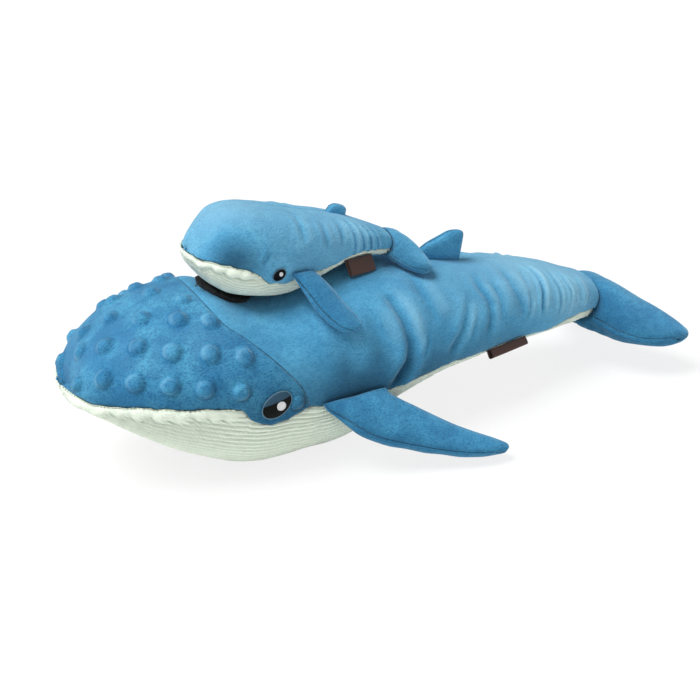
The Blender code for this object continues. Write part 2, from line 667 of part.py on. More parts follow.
def calf(mother_surface):
    """The small whale, which lifts off the mother's back."""
    size = (CALF_LENGTH, CALF_WIDTH, CALF_HEIGHT, CALF_RING_SIDES)
    base = (0.0, 0.0)
    shares = calf_form_shares
    places = places_on(calf_place_shares, size, 0.0)

    def form(growth, capped=True):
        return body_form(shares, size, base, growth, capped)

    surface = BVHTree.FromBMesh(form(0.0))
    seat = seat_height(mother_surface, surface)
    place = (LOOP_PATCH_X - CALF_SEAT_X * math.cos(CALF_PITCH), 0.0, seat)
    frame = place_empty("calf", place, (0.0, CALF_PITCH, 0.0), None)

    flank = seam_path(calf_flank_seam_shares, CALF_LENGTH, CALF_HEIGHT, base)
    under, over = flank_cutters("calf", flank, frame)
    not_left, not_right = side_cutters("calf", frame)
    tail_end, fluke_root = tail_cutters("calf", places["tail_pivot"], CALF_TAIL_RADIUS, frame)

    skin_panel("calf_back_left", form(0.0, False), (under, not_left, tail_end), blue_plush, frame)
    skin_panel("calf_back_right", form(0.0, False), (under, not_right, tail_end), blue_plush, frame)
    skin_panel("calf_belly_panel", form(0.0, False), (over, tail_end), ribbed_plush, frame)
    core = place_mesh("calf_stuffing", mesh_from("calf_stuffing", form(-FABRIC - SEAM_GAP)), filling, frame)
    cut(core, tail_end)

    over_gap = place_cutter("calf_over_gap", mesh_from("calf_over_gap", form(SEAM_GAP)), frame)
    over_patch = place_cutter(
        "calf_over_patch", mesh_from("calf_over_patch", form(SEAM_GAP + PATCH_THICKNESS)), frame
    )
    over_eye = place_cutter(
        "calf_over_eye", mesh_from("calf_over_eye", form(SEAM_GAP + EYE_THICKNESS)), frame
    )
    round_patch(
        "calf_hook_patch", CALF_SEAT_X, HOOK_PATCH_RADIUS, -CALF_HEIGHT, CALF_HEIGHT / 2,
        over_gap, over_patch, hook_and_loop, frame,
    )
    flipper_size = (CALF_FLIPPER_ROOT, CALF_FLIPPER_SPAN, CALF_FLIPPER_THICKNESS)
    for word, side in (("left", -1.0), ("right", 1.0)):
        eye(f"calf_eye_{word}", CALF_EYE, places["eye"], side, over_gap, over_eye, eye_thread, frame)
        flipper(
            f"calf_flipper_{word}", side, calf_flipper_shares, flipper_size, places["flipper"],
            CALF_FLIPPER_SLOPE, CALF_FLIPPER_YAW, surface, (blue_plush, filling), frame,
        )
    fin_size = (CALF_FIN_ROOT, CALF_FIN_SPAN, CALF_FIN_THICKNESS)
    back_fin("calf_fin", fin_size, places["fin"], CALF_FIN_FALL, False, surface, (blue_plush, filling), frame)
    fluke_size = (CALF_FLUKE_HALF_SPAN, CALF_FLUKE_LENGTH, CALF_FLUKE_THICKNESS, CALF_FLUKE_DROOP)
    flukes("calf_flukes", fluke_size, places["flukes"], places["tail_pivot"], fluke_root,
           (blue_plush, filling), frame)
    label("calf_label", CALF_LABEL, places["label"], CALF_WIDTH, LABEL_SLOPE, surface, ribbon, frame)


clear_scene()
parts = new_collection("plush_whale")
cutters = new_collection("cutters")
blue_plush = principled("short_blue_plush", (0.047, 0.156, 0.305), 0.95)
dotted_plush = principled("dotted_blue_plush", (0.040, 0.140, 0.290), 0.95)
ribbed_plush = principled("ribbed_mint_plush", (0.680, 0.790, 0.720), 0.95)
filling = principled("polyester_filling", (0.850, 0.850, 0.830), 1.0)
hook_and_loop = principled("black_hook_and_loop", (0.012, 0.012, 0.013), 0.95)
eye_thread = principled("black_eye_thread", (0.006, 0.006, 0.007), 0.45)
ribbon = principled("brown_woven_ribbon", (0.060, 0.030, 0.022), 0.70)

calf(mother())
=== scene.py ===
import math

import bmesh
import bpy
from mathutils import Matrix, Vector, noise
from mathutils.kdtree import KDTree


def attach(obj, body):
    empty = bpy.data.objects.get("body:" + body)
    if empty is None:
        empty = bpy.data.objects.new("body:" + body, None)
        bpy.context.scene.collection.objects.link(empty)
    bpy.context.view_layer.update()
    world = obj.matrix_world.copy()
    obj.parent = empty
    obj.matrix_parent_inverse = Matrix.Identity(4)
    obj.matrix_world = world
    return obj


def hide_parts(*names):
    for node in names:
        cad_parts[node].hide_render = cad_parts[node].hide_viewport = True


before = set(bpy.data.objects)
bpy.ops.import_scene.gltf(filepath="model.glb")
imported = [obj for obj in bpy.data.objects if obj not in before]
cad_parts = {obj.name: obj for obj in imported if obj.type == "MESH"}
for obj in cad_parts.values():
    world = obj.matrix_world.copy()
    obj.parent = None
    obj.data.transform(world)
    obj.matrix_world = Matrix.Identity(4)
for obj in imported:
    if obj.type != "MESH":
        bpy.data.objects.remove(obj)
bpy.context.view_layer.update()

scene = bpy.context.scene
plushGroup = bpy.data.collections.new("plushWhale")
scene.collection.children.link(plushGroup)
bothSides = ((-1.0, "Left"), (1.0, "Right"))


def addObject(name, data):
    # data is a light, a camera, a mesh or a bmesh
    if isinstance(data, bmesh.types.BMesh):
        form, data = data, bpy.data.meshes.new(name)
        form.to_mesh(data)
        form.free()
    made = bpy.data.objects.new(name, data)
    plushGroup.objects.link(made)
    return made


# Small helpers for shares and curves

def clamp(value, low=0.0, high=1.0):
    return max(low, min(high, value))


def easeBetween(value, low, high):
    share = clamp((value - low) / (high - low))
    return share * share * (3.0 - 2.0 * share)


def hump(gap, reach, power=2.0):
    # 1 at no gap, and next to nothing beyond twice the reach
    return math.exp(-(gap / reach) ** power)


def crowdEnds(share, pull=0.55):
    # closer lines near both ends of a grid, where the seams roll in
    return share - pull * math.sin(math.tau * share) / math.tau


def readCurve(keys, values, key):
    # smooth curve through uneven keys
    if key <= keys[0]:
        return values[0]
    if key >= keys[-1]:
        return values[-1]
    spot = 0
    while keys[spot + 1] < key:
        spot += 1
    left, right = max(spot - 1, 0), min(spot + 2, len(keys) - 1)
    span = keys[spot + 1] - keys[spot]
    share = (key - keys[spot]) / span
    startLean = (values[spot + 1] - values[left]) / (keys[spot + 1] - keys[left]) * span
    endLean = (values[right] - values[spot]) / (keys[right] - keys[spot]) * span
    squared, cubed = share * share, share ** 3
    return (
        values[spot] * (2 * cubed - 3 * squared + 1) + startLean * (cubed - 2 * squared + share)
        + values[spot + 1] * (3 * squared - 2 * cubed) + endLean * (cubed - squared)
    )


# The two bodies: each section's place along, half width, ridge, widest level and keel

motherBody = {
    "name": "mother", "length": 0.46, "width": 0.16, "height": 0.129, "noseX": -0.166, "baseZ": -0.0005,
    "sections": [
        (0, 0, 0.545, 0.545, 0.545), (0.007, 0.212, 0.628, 0.545, 0.482),
        (0.022, 0.378, 0.702, 0.54, 0.474), (0.052, 0.575, 0.798, 0.53, 0.412),
        (0.104, 0.77, 0.905, 0.512, 0.288), (0.154, 0.881, 0.978, 0.504, 0.172),
        (0.198, 0.944, 1, 0.496, 0.085), (0.239, 0.981, 0.99, 0.492, 0.024),
        (0.278, 1, 0.938, 0.488, 0), (0.317, 1, 0.911, 0.488, 0),
        (0.361, 1, 0.919, 0.488, 0), (0.404, 0.988, 0.95, 0.492, 0),
        (0.448, 0.975, 0.973, 0.496, 0.055), (0.491, 0.956, 0.981, 0.504, 0.165),
        (0.589, 0.863, 0.938, 0.527, 0.284), (0.698, 0.738, 0.874, 0.535, 0.324),
        (0.807, 0.575, 0.808, 0.52, 0.326), (0.904, 0.438, 0.722, 0.496, 0.318),
        (1, 0.3, 0.586, 0.45, 0.35),
    ],
    "flankSeam": [
        (0, 0.578), (0.021, 0.564), (0.043, 0.555), (0.093, 0.557), (0.119, 0.551),
        (0.146, 0.54), (0.188, 0.524), (0.232, 0.496), (0.241, 0.47), (0.248, 0.426),
        (0.26, 0.39), (0.28, 0.367), (0.299, 0.369), (0.321, 0.395), (0.337, 0.417),
        (0.349, 0.421), (0.367, 0.411), (0.487, 0.398), (0.552, 0.406), (0.594, 0.413),
        (0.638, 0.42), (0.684, 0.416), (0.789, 0.39), (0.86, 0.372), (0.9, 0.4), (0.95, 0.42), (1, 0.405),
    ],
    "headSeam": [  # level, then place along
        (0.415, 0.345), (0.47, 0.342), (0.558, 0.333), (0.651, 0.313), (0.744, 0.289),
        (0.837, 0.261), (0.915, 0.235), (1.03, 0.217),
    ],
    "mouthLine": [(0.188, 0.524), (0.36, 0.413)],  # the ribs run on under the eyes
    "tailPivot": (0.26599, 0.0665), "tailRadius": 0.025, "place": Matrix.Identity(4),
}
calfBody = {
    "name": "calf", "length": 0.166, "width": 0.08, "height": 0.0615, "noseX": 0, "baseZ": 0,
    "sections": [
        (0, 0, 0.48, 0.48, 0.48), (0.012, 0.305, 0.64, 0.48, 0.35),
        (0.036, 0.525, 0.738, 0.48, 0.262), (0.084, 0.76, 0.868, 0.476, 0.132),
        (0.169, 0.945, 0.978, 0.47, 0.025), (0.277, 1, 0.996, 0.465, 0),
        (0.422, 0.95, 0.94, 0.465, -0.022), (0.572, 0.825, 0.862, 0.49, 0.075),
        (0.723, 0.625, 0.788, 0.5, 0.21), (0.825, 0.475, 0.688, 0.472, 0.24),
        (0.904, 0.375, 0.6, 0.423, 0.238), (1, 0.25, 0.504, 0.341, 0.228),
    ],
    "flankSeam": [
        (0, 0.5), (0.029, 0.474), (0.054, 0.46), (0.119, 0.446), (0.164, 0.422),
        (0.217, 0.38), (0.249, 0.329), (0.301, 0.215), (0.36, 0.165), (0.421, 0.192),
        (0.48, 0.236), (0.56, 0.248), (0.643, 0.268), (0.7, 0.325), (0.783, 0.352),
        (0.904, 0.338), (1, 0.3),
    ],
    "mouthLine": [(0.164, 0.422), (0.6, 0.258)],
    "tailPivot": (0.1535, 0.02534), "tailRadius": 0.0105,
    "place": Matrix.Translation((-0.06889, 0, 0.12595)) @ Matrix.Rotation(math.radians(4), 4, "Y"),
}
roundness = {"upper": 2.35, "lower": 3}


def prepareBody(body, steps=800):
    # fine sections, evenly spaced by the root of the share, so that the snout is round
    keys = [math.sqrt(row[0]) for row in body["sections"]]
    columns = list(zip(*body["sections"]))[1:]
    scales = (body["width"] / 2, body["height"], body["height"], body["height"])
    seamKeys, seamLevels = zip(*body["flankSeam"])
    body["fine"], body["fineSeam"] = [], []
    for step in range(steps + 1):
        share = step / steps
        body["fine"].append([readCurve(keys, column, share) * scale for column, scale in zip(columns, scales)])
        place = Vector((share * body["length"] * 130.0, 3.0, body["height"] * 50.0))
        waver = 0.0011 * noise.noise(place)  # the pile hides a ruler-straight seam
        body["fineSeam"].append([readCurve(seamKeys, seamLevels, share) * body["height"] + waver])


def readFine(rows, share):
    place = share * (len(rows) - 1)
    spot = min(int(place), len(rows) - 2)
    return [a + (b - a) * (place - spot) for a, b in zip(rows[spot], rows[spot + 1])]


def shareAt(body, x):
    return clamp((x - body["noseX"]) / body["length"])


def sectionAt(body, x):
    # half width, ridge, widest level and keel
    return readFine(body["fine"], math.sqrt(shareAt(body, x)))


def seamLevel(body, x):
    return readFine(body["fineSeam"], shareAt(body, x))[0]


def roundingOf(section, above):
    # how far the section reaches from its widest level, and its roundness there
    _, ridge, widest, keel = section
    return (ridge - widest, roundness["upper"]) if above else (widest - keel, roundness["lower"])


def arcOf(share, power):
    return (1.0 - clamp(share, 0.0, 0.995) ** power) ** (1.0 / power)


def bodyPoint(body, x, angle, side=1.0):
    section = sectionAt(body, x)
    across, up = math.cos(angle), math.sin(angle)
    reach, power = roundingOf(section, up >= 0)
    depth = math.copysign(abs(across) ** (2.0 / power), across) * section[0]
    level = section[2] + math.copysign(abs(up) ** (2.0 / power), up) * reach
    return Vector((x, depth * side, body["baseZ"] + level))


def seamAngle(body, x):
    # angle of the flank seam above the widest level, on the right side
    section = sectionAt(body, x)
    rise = seamLevel(body, x) - section[2]
    reach, power = roundingOf(section, rise >= 0)
    share = clamp(abs(rise) / max(reach, 1e-6), 0.0, 0.999)
    return math.copysign(math.asin(share ** (power / 2.0)), rise)


def upperPoint(body, x, share, side):
    # share 0 is the flank seam and 1 the middle of the back; side is -1 on the left
    start = seamAngle(body, x)
    return bodyPoint(body, x, start + (math.pi / 2 - start) * share, side)


def lowerPoint(body, x, share, side):
    # share 0 is the keel and 1 the flank seam
    return bodyPoint(body, x, -math.pi / 2 + (seamAngle(body, x) + math.pi / 2) * share, side)


def sideDepth(body, x, z):
    # half width of the body at a place and level
    section = sectionAt(body, x)
    rise = z - body["baseZ"] - section[2]
    reach, power = roundingOf(section, rise >= 0)
    return section[0] * arcOf(abs(rise) / reach, power)


def backLevel(body, x, y, under=False):
    section = sectionAt(body, x)
    reach, power = roundingOf(section, not under)
    return body["baseZ"] + section[2] + (-reach if under else reach) * arcOf(abs(y) / section[0], power)


def tailX(body, z):
    # the rear ends of the panels lie on a cylinder round the pivot of the flukes
    pivotX, pivotZ = body["tailPivot"]
    share = clamp(abs(z - pivotZ) / body["tailRadius"])
    return pivotX + body["tailRadius"] * math.sqrt(1.0 - share * share)


def headX(body, z):
    levels, places = zip(*body["headSeam"])
    share = readCurve(levels, places, clamp((z - body["baseZ"]) / body["height"], levels[0], levels[-1]))
    return body["noseX"] + share * body["length"]


def solveX(low, high, edgeX, pointAt):
    # the place where the body's line pointAt(x) meets the edge
    for _ in range(26):
        middle = (low + high) / 2
        low, high = (low, middle) if middle > edgeX(pointAt(middle).z) else (middle, high)
    return (low + high) / 2


def headEnd(body, share, side):
    return solveX(-0.09, 0.02, lambda z: headX(body, z), lambda x: upperPoint(body, x, share, side))


for eachBody in (motherBody, calfBody):
    prepareBody(eachBody)

# Folds that the sewing pulls into the fabric, as points on the left side in millimetres

motherFolds = {
    "gain": 1.35,
    "lines": [  # depth, width, then points; the fabric swells beside each fold
        (2, 3, [(217, -9, 103), (219, -17, 100), (222.7, -29.5, 93.7), (221.9, -37.1, 85.2), (218.4, -41.7, 75.3),
            (217.4, -42.9, 65.4)]),
        (1.5, 2.2, [(236, -12, 97), (238.8, -26.9, 89.8), (241.3, -34.4, 79.1), (240, -36.5, 68.9), (238, -37, 60)]),
        (1.6, 1.8, [(247, -12, 95), (250, -24, 87), (253.5, -31.2, 76.3), (252, -33, 66), (249, -33, 56)]),
        (0.9, 1.6, [(257, -14, 88), (259, -24, 81), (260, -30.4, 69), (258.5, -30.3, 60)]),
        (1.7, 2, [(267, -10, 84), (270, -20, 77), (271, -26, 68), (267, -27, 58)]),
        (0.7, 3, [(205, -20, 103), (206.9, -40.9, 91.3), (203.6, -46.5, 76)]),
        (1, 6, [(192, -14, 108), (189, -27, 104.3), (190.9, -41.9, 94.3), (194.6, -48.5, 80.4),
            (196.6, -48.3, 66.3)]),
        (0.7, 5, [(168, -34, 105.5), (172.5, -48.3, 92.4), (169.6, -54.5, 74.4)]),
        (1.3, 4.6, [(160, -22, 111), (157, -41.9, 103.5), (161, -51.1, 91.5), (158, -57.3, 78.1), (150, -59.5, 66)]),
        (1.5, 4.2, [(143, -44, 102), (137, -54, 92.7), (131.1, -60.5, 83.8), (121.2, -65.2, 72.1),
            (113.7, -68, 61.9)]),
        (2.9, 5.6, [(66, -38, 119), (71.8, -52.6, 111.3), (77.3, -65, 98), (79, -71.6, 81.9), (76.4, -73.5, 69.2),
            (65.7, -74.9, 57.2), (54, -76, 49)]),
        (1, 7, [(104, -24, 120), (99.6, -46.1, 112), (101.3, -58.3, 99.9), (106, -64, 88)]),
        (0.9, 7.5, [(47, -55, 114), (50, -68, 102), (52, -75, 86), (49, -77.5, 70)]),
        (0.6, 8, [(12.1, -62.7, 104.5), (19.8, -71.1, 94.6), (22.6, -76.6, 80.6), (23, -78, 68)]),
        (0.9, 2.6, [(146, -56, 88), (140, -60, 79), (136, -62.5, 69)]),
        (0.8, 2.4, [(206, -42, 86), (203, -46, 76), (198, -47, 67)]),
        (0.7, 2.2, [(96, -68, 86), (93, -71, 78), (88, -73, 69)]),
    ],
}
calfFolds = {
    "gain": 1.55,
    "lines": [
        (1.5, 1.9, [(117, -3, 48), (121, -9, 44), (124.5, -16.5, 36), (125, -19.5, 27), (124, -20, 20)]),
        (1.6, 1.6, [(125, -3, 45), (129, -9, 41), (132.5, -14.5, 34), (133.5, -17, 26), (133, -17, 20)]),
        (1.7, 1.5, [(133, -3, 42), (137, -8.5, 38), (140, -13, 31.5), (141, -15, 24), (140.5, -15, 19)]),
        (1.5, 1.3, [(141, -3, 39), (145, -8, 35), (147.5, -11.5, 29), (148, -13, 22), (147.5, -13, 18)]),
        (0.8, 2.8, [(109, -10, 49), (112, -18, 42), (113, -22.5, 33)]),
        (0.7, 3, [(94, -14, 51), (97, -25, 42), (98, -29, 32)]),
        (0.6, 3.4, [(76, -16, 56), (78, -29, 48), (78, -34, 38)]),
        (0.6, 2, [(50, -36, 38), (47, -38.5, 33), (43, -39, 28)]),
    ],
}


def onCalf(point):
    # the same place along and level, on the calf's side
    level = min(point.z, backLevel(calfBody, point.x, 0.003))
    return Vector((point.x, math.copysign(sideDepth(calfBody, point.x, level), point.y), level))


def prepareFolds(folds):
    folds["ready"] = []
    for depth, width, points in folds["lines"]:
        for side in (1.0, -1.0):
            shift = 0.0 if side > 0 else 0.004 * math.sin(points[0][0])  # the right side isn't a mirror image
            line = [Vector((x / 1000 + shift, y * side / 1000, z / 1000)) for x, y, z in points]
            if folds is calfFolds:
                line = [onCalf(point) for point in line]
            margin = width * 3.4 / 1000
            box = [(min(values) - margin, max(values) + margin) for values in zip(*line)]
            folds["ready"].append((depth / 1000, width / 1000, line, box))


def foldHeight(folds, point):
    # a height, and a tone: above 0 painted shade in the valleys, below 0 a painted highlight on the ridges beside each
    # fold
    total, tone = 0.0, 0.0
    for depth, width, line, box in folds["ready"]:
        if any(value < low or value > high for value, (low, high) in zip(point, box)):
            continue
        best, lead, share = 1e9, 0.0, 0.0
        for number, (start, end) in enumerate(zip(line, line[1:])):
            run = end - start
            along = clamp((point - start).dot(run) / run.length_squared)
            gap = point - (start + run * along)
            if gap.length < best:
                best, lead, share = gap.length, gap.x, (number + along) / (len(line) - 1)
        fade = easeBetween(share, 0.0, 0.32) * (1.0 - easeBetween(share, 0.78, 1.0))
        signed = math.copysign(best, lead) / width
        valley = math.exp(-(abs(signed) ** 1.7) * 1.5)
        front = math.exp(-((signed + 1.55) ** 2) * 1.1)
        back = math.exp(-((signed - 1.60) ** 2) * 1.1)
        total += depth * fade * (0.70 * front + 0.35 * back - valley)
        tone += fade * clamp(depth / 0.0020, 0.35, 1.0) * (0.36 * valley - 0.38 * back - 0.10 * front)
    return total * folds["gain"], tone


for folds in (motherFolds, calfFolds):
    prepareFolds(folds)


# Finishes

def linear(hexColour):
    channels = [int(hexColour[i:i + 2], 16) / 255 for i in (1, 3, 5)]
    return (*[c / 12.92 if c <= 0.04045 else ((c + 0.055) / 1.055) ** 2.4 for c in channels], 1.0)


def addNode(tree, kind, inputs=None, **settings):
    # an input is a number, a tuple, a hex colour or a socket to link
    node = tree.nodes.new(f"ShaderNode{kind}")
    for key, value in settings.items():
        setattr(node, key, value)
    for key, value in (inputs or {}).items():
        if isinstance(value, bpy.types.NodeSocket):
            tree.links.new(value, node.inputs[key])
        else:
            node.inputs[key].default_value = linear(value) if isinstance(value, str) else value
    return node


def newFinish(name):
    finish = bpy.data.materials.new(name)
    finish.use_nodes = True
    finish.node_tree.nodes.clear()
    return finish, finish.node_tree


def closeFinish(finish, tree, preview, colour, height, strength, depth, looks):
    bump = addNode(tree, "Bump", {"Height": height, "Strength": strength, "Distance": depth})
    shader = addNode(tree, "BsdfPrincipled", {"Base Color": colour, "Normal": bump.outputs[0], **looks})
    addNode(tree, "OutputMaterial", {"Surface": shader.outputs["BSDF"]})
    finish.diffuse_color = linear(preview)
    return finish


def mixColours(tree, share, first, second):
    return addNode(tree, "Mix", {0: share, 6: first, 7: second}, data_type="RGBA").outputs[2]


def ramp(tree, source, low, high):
    return addNode(tree, "MapRange", {0: source, 1: low, 2: high}, interpolation_type="SMOOTHSTEP").outputs[0]


def maths(tree, operation, first, second, **settings):
    return addNode(tree, "Math", {0: first, 1: second}, operation=operation, **settings).outputs[0]


def noiseAt(tree, place, scale, detail, **more):
    return addNode(tree, "TexNoise", {"Vector": place, "Scale": scale, "Detail": detail, **more}).outputs[0]


def turned(tree, place, rotation, scale=(1.0, 1.0, 1.0)):
    return addNode(tree, "Mapping", {"Vector": place, "Scale": scale, "Rotation": rotation}).outputs[0]


def coordinates(tree, kind="Object"):
    return addNode(tree, "TexCoord").outputs[kind]


def shadeOf(tree):
    return addNode(tree, "Attribute", attribute_name="shade").outputs["Fac"]


def waves(tree, place, pitch, axis, **more):
    inputs = {"Vector": place, "Scale": math.tau / (pitch * 20), **more}
    return addNode(tree, "TexWave", inputs, bands_direction=axis).outputs["Fac"]


pileLooks = {
    "napScale": 34, "napDetail": 3.5, "napRoughness": 0.55, "napBend": 0.6,
    "strokeTurn": (0, 0.5, 0.2), "strokeScale": (150, 240, 300), "strokeDetail": 2.5,
    # 1 mm tufts: coarser than the real 0.3 mm, so that they show
    "tuftTurn": (0, 0.6, 0.3), "tuftScale": (550, 1000, 1000), "tuftDetail": 2, "tuftRelief": 0.9, "tuftDepth": 0.001,
    "roughness": 0.95, "specular": 0.06, "sheenRoughness": 0.42,
}


def plushFinish(name, colours, sheen, mottle=0.5, speckle=0.38):
    # polyester minky: a short brushed pile, matt, pale where the light grazes it, with strokes left by hands; the shade
    # attribute adds painted shade and painted highlights
    finish, tree = newFinish(name)
    light, dark, deep, paintedHighlight, seam = colours
    place = coordinates(tree)
    looks, bend = pileLooks, {"Roughness": pileLooks["napRoughness"], "Distortion": pileLooks["napBend"]}
    nap = noiseAt(tree, place, looks["napScale"], looks["napDetail"], **bend)
    strokePlace = turned(tree, place, looks["strokeTurn"], looks["strokeScale"])
    strokes = noiseAt(tree, strokePlace, 1.0, looks["strokeDetail"])
    tufts = noiseAt(tree, turned(tree, place, looks["tuftTurn"], looks["tuftScale"]), 1.0, looks["tuftDetail"])
    colour = light
    for source, low, high, strength, tint in (
        (nap, 0.34, 0.66, mottle, dark), (strokes, 0.42, 0.70, mottle * 0.6, dark), (tufts, 0.44, 0.70, speckle, deep),
    ):
        colour = mixColours(tree, maths(tree, "MULTIPLY", ramp(tree, source, low, high), strength), colour, tint)
    shade = shadeOf(tree)
    # painted highlight: where the shade attribute is below 0, the pale highlight colour is mixed in
    colour = mixColours(tree, maths(tree, "MULTIPLY", shade, -1.0, use_clamp=True), colour, paintedHighlight)
    # painted shade: where it is above 0, the seam colour is mixed in, for seam lines and for shade in folds, grooves
    # and low parts
    colour = mixColours(tree, maths(tree, "MAXIMUM", shade, 0.0), colour, seam)
    weight, tint = sheen
    return closeFinish(finish, tree, light, colour, tufts, looks["tuftRelief"], looks["tuftDepth"], {
        "Roughness": looks["roughness"], "Specular IOR Level": looks["specular"],
        "Sheen Weight": weight, "Sheen Roughness": looks["sheenRoughness"], "Sheen Tint": tint,
    })


def threadFinish(name, colour, deep, lean, gloss=0.25):
    # rayon embroidery thread: packed satin stitches, which give a soft gloss across the stitch
    finish, tree = newFinish(name)
    place = turned(tree, coordinates(tree), (0.0, math.radians(lean), 0.0))
    stitches = waves(tree, place, 0.0006, "X", Distortion=0.6, Detail=1.0)
    tint = mixColours(tree, ramp(tree, stitches, 0.1, 0.9), deep, colour)
    looks = {"Roughness": 0.5, "Specular IOR Level": gloss}
    return closeFinish(finish, tree, colour, tint, stitches, 0.5, 0.0003, looks)


def tapeFinish(name, colour, deep, grain):
    # nylon hook-and-loop tape: a matt black mat of tiny loops
    finish, tree = newFinish(name)
    place = coordinates(tree)
    loops = addNode(tree, "TexVoronoi", {"Vector": place, "Scale": 1.0 / grain}).outputs["Distance"]
    fuzz = noiseAt(tree, place, 0.6 / grain, 3.0)
    tint = mixColours(tree, ramp(tree, fuzz, 0.42, 0.72), deep, colour)
    looks = {"Roughness": 0.85, "Sheen Weight": 0.08}
    return closeFinish(finish, tree, colour, tint, maths(tree, "ADD", loops, fuzz), 0.9, 0.0008, looks)


def ribbonFinish(name, colour, deep, edge, pitch):
    # woven polyester satin ribbon: a fine weave with a dull gloss
    finish, tree = newFinish(name)
    place = coordinates(tree, "UV")
    weave = maths(tree, "MULTIPLY", waves(tree, place, pitch, "X"), waves(tree, place, pitch, "Y"))
    tint = mixColours(tree, ramp(tree, weave, 0.0, 0.8), deep, colour)
    # painted shade in the edge colour at the ribbon's ends, where the folded loop opens
    tint = mixColours(tree, shadeOf(tree), tint, edge)
    return closeFinish(finish, tree, colour, tint, weave, 0.35, 0.0002, {"Roughness": 0.5, "Sheen Weight": 0.1})


blueSheen, mintSheen = (0.50, "#C2E4F4"), (0.10, "#FFFFFF")
plushes = {  # name, the light, dark, deep, painted highlight and seam colours, sheen, mottle, speckle; the seam colour is also the painted shade
    "blue": ("minkyBlueBrushed", ("#58A5CD", "#3B85B0", "#286791", "#A0D5EA", "#0F3550"), blueSheen, 0.55),
    "dotted": ("minkyBlueDotted", ("#509FC6", "#2F74A4", "#215A84", "#94CBE2", "#0F334C"), blueSheen, 0.80, 0.60),
    "limb": ("minkyBlueLimb", ("#4B9AC4", "#3278A6", "#235C87", "#8AC6E0", "#10354F"), blueSheen, 0.75, 0.50),
    "calfBlue": ("minkyBlueCalf", ("#68B2D6", "#438DB9", "#30719D", "#ADDDF0", "#103853"), blueSheen, 0.60),
    "mint": ("ribbedMinkyMint", ("#F1FAEA", "#EEF8E9", "#E2EFDD", "#FAFDF6", "#7F9F89"), mintSheen, 0.4, 0.45),
    "backing": ("knittedBacking", ("#4389B4", "#34789F", "#296488", "#5BA0C6", "#184462"), blueSheen),
}
threads = {  # name, colour, deep colour, lean of the stitches in degrees, gloss
    "black": ("rayonThreadBlack", "#08080A", "#030304", 35, 0.12),
    "lid": ("rayonThreadSlate", "#3C5C73", "#2C4658", -20, 0.12),
    "ring": ("rayonThreadGrey", "#6F93A8", "#4F7388", 60),
    "white": ("rayonThreadWhite", "#F7F7F7", "#DDDEE2", 80),
    "pearl": ("rayonThreadPearl", "#F2F2F4", "#E2E2E6", 80),
}
finishes = {key: plushFinish(*row) for key, row in plushes.items()}
finishes.update({key: threadFinish(*row) for key, row in threads.items()})
finishes["tape"] = tapeFinish("nylonLoopTape", "#1B1B1D", "#070708", 0.0011)
finishes["ribbon"] = ribbonFinish("satinRibbonBrown", "#5C3B30", "#412821", "#1E1411", 0.0008)


# Making a piece from a bmesh grid

def thicken(piece, name, wall, offset):
    cloth = piece.modifiers.new(name, "SOLIDIFY")
    cloth.thickness, cloth.offset = wall, offset


def asPiece(name, form, finish, body, nodes=(), place=None, wall=0.0):
    if place is not None:
        bmesh.ops.transform(form, matrix=place, verts=form.verts)
    piece = addObject(name, form)
    piece.data.shade_smooth()
    piece.data.materials.append(finishes[finish])
    if wall > 0:
        thicken(piece, "clothThickness", wall, -1.0)
    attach(piece, body)
    if nodes:
        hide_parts(*nodes)
    return piece


def shapedGrid(cells, placeAt, reliefAt, outwards, wrapped=False):
    # placeAt(u, v) gives a point; reliefAt(u, v, point, gaps) gives a height along the normal and a shade
    form = bmesh.new()
    bmesh.ops.create_grid(form, x_segments=cells[0], y_segments=cells[1], size=1.0)
    shadeLayer = form.verts.layers.float.new("shade")
    rows, columns = range(cells[0] + 1), range(cells[1] + 1)
    table = {}
    for vert in form.verts:
        i, j = (round((value + 1.0) / 2.0 * count) for value, count in zip(vert.co.xy, cells))
        table[i, j] = vert
    for (i, j), vert in table.items():
        vert.co = placeAt(i / cells[0], j / cells[1])
    form.normal_update()
    if sum(vert.normal.dot(outwards(vert.co)) for vert in form.verts) < 0:
        bmesh.ops.reverse_faces(form, faces=form.faces)
        form.normal_update()

    def measure(lines):
        # each vertex's distance along its line of the grid
        along = {}
        for line in lines:
            total, last = 0.0, line[0]
            for key in line:
                total += (table[key].co - table[last].co).length
                along[key], last = total, key
        return along

    alongU = measure([[(i, j) for i in rows] for j in columns])
    alongV = measure([[(i, j) for j in columns] for i in rows])
    normals = {key: vert.normal.copy() for key, vert in table.items()}
    if alongV[0, cells[1]] < 1e-5:  # a pole moves as one point
        mean = sum((normals[1, j] for j in columns), Vector()).normalized()
        normals.update({(0, j): mean for j in columns})
    moves = []
    for (i, j), vert in table.items():
        fromU, fromV = alongU[i, j], alongV[i, j]
        gaps = (fromU, alongU[cells[0], j] - fromU, fromV, alongV[i, cells[1]] - fromV)
        height, shade = reliefAt(i / cells[0], j / cells[1], vert.co, gaps)
        moves.append((vert, normals[i, j] * height, shade))
    for vert, move, shade in moves:
        vert.co += move
        vert[shadeLayer] = shade
    if wrapped:
        bmesh.ops.remove_doubles(form, verts=form.verts, dist=2e-6)
    return form


def plain(u, v, point, gaps):
    return 0.0, 0.0


def rolledEdge(gap, width, depth):
    # the fabric turns in along a seam like the edge of a pillow
    share = clamp(gap / width)
    return -depth * (1.0 - math.sqrt(max(1.0 - (1.0 - share) ** 2, 0.0)))


def threadLine(gap, width=0.0008, strength=0.9):
    # the dark line of a sewn seam
    return strength * (1.0 - easeBetween(gap, width * 0.35, width))


def underLines(tone, lines):
    return max(tone, lines) if lines > 0.02 else tone


def awayFromAxis(body):
    return lambda point: Vector((0.0, point.y, point.z - body["baseZ"] - sectionAt(body, point.x)[2]))


# Body panels

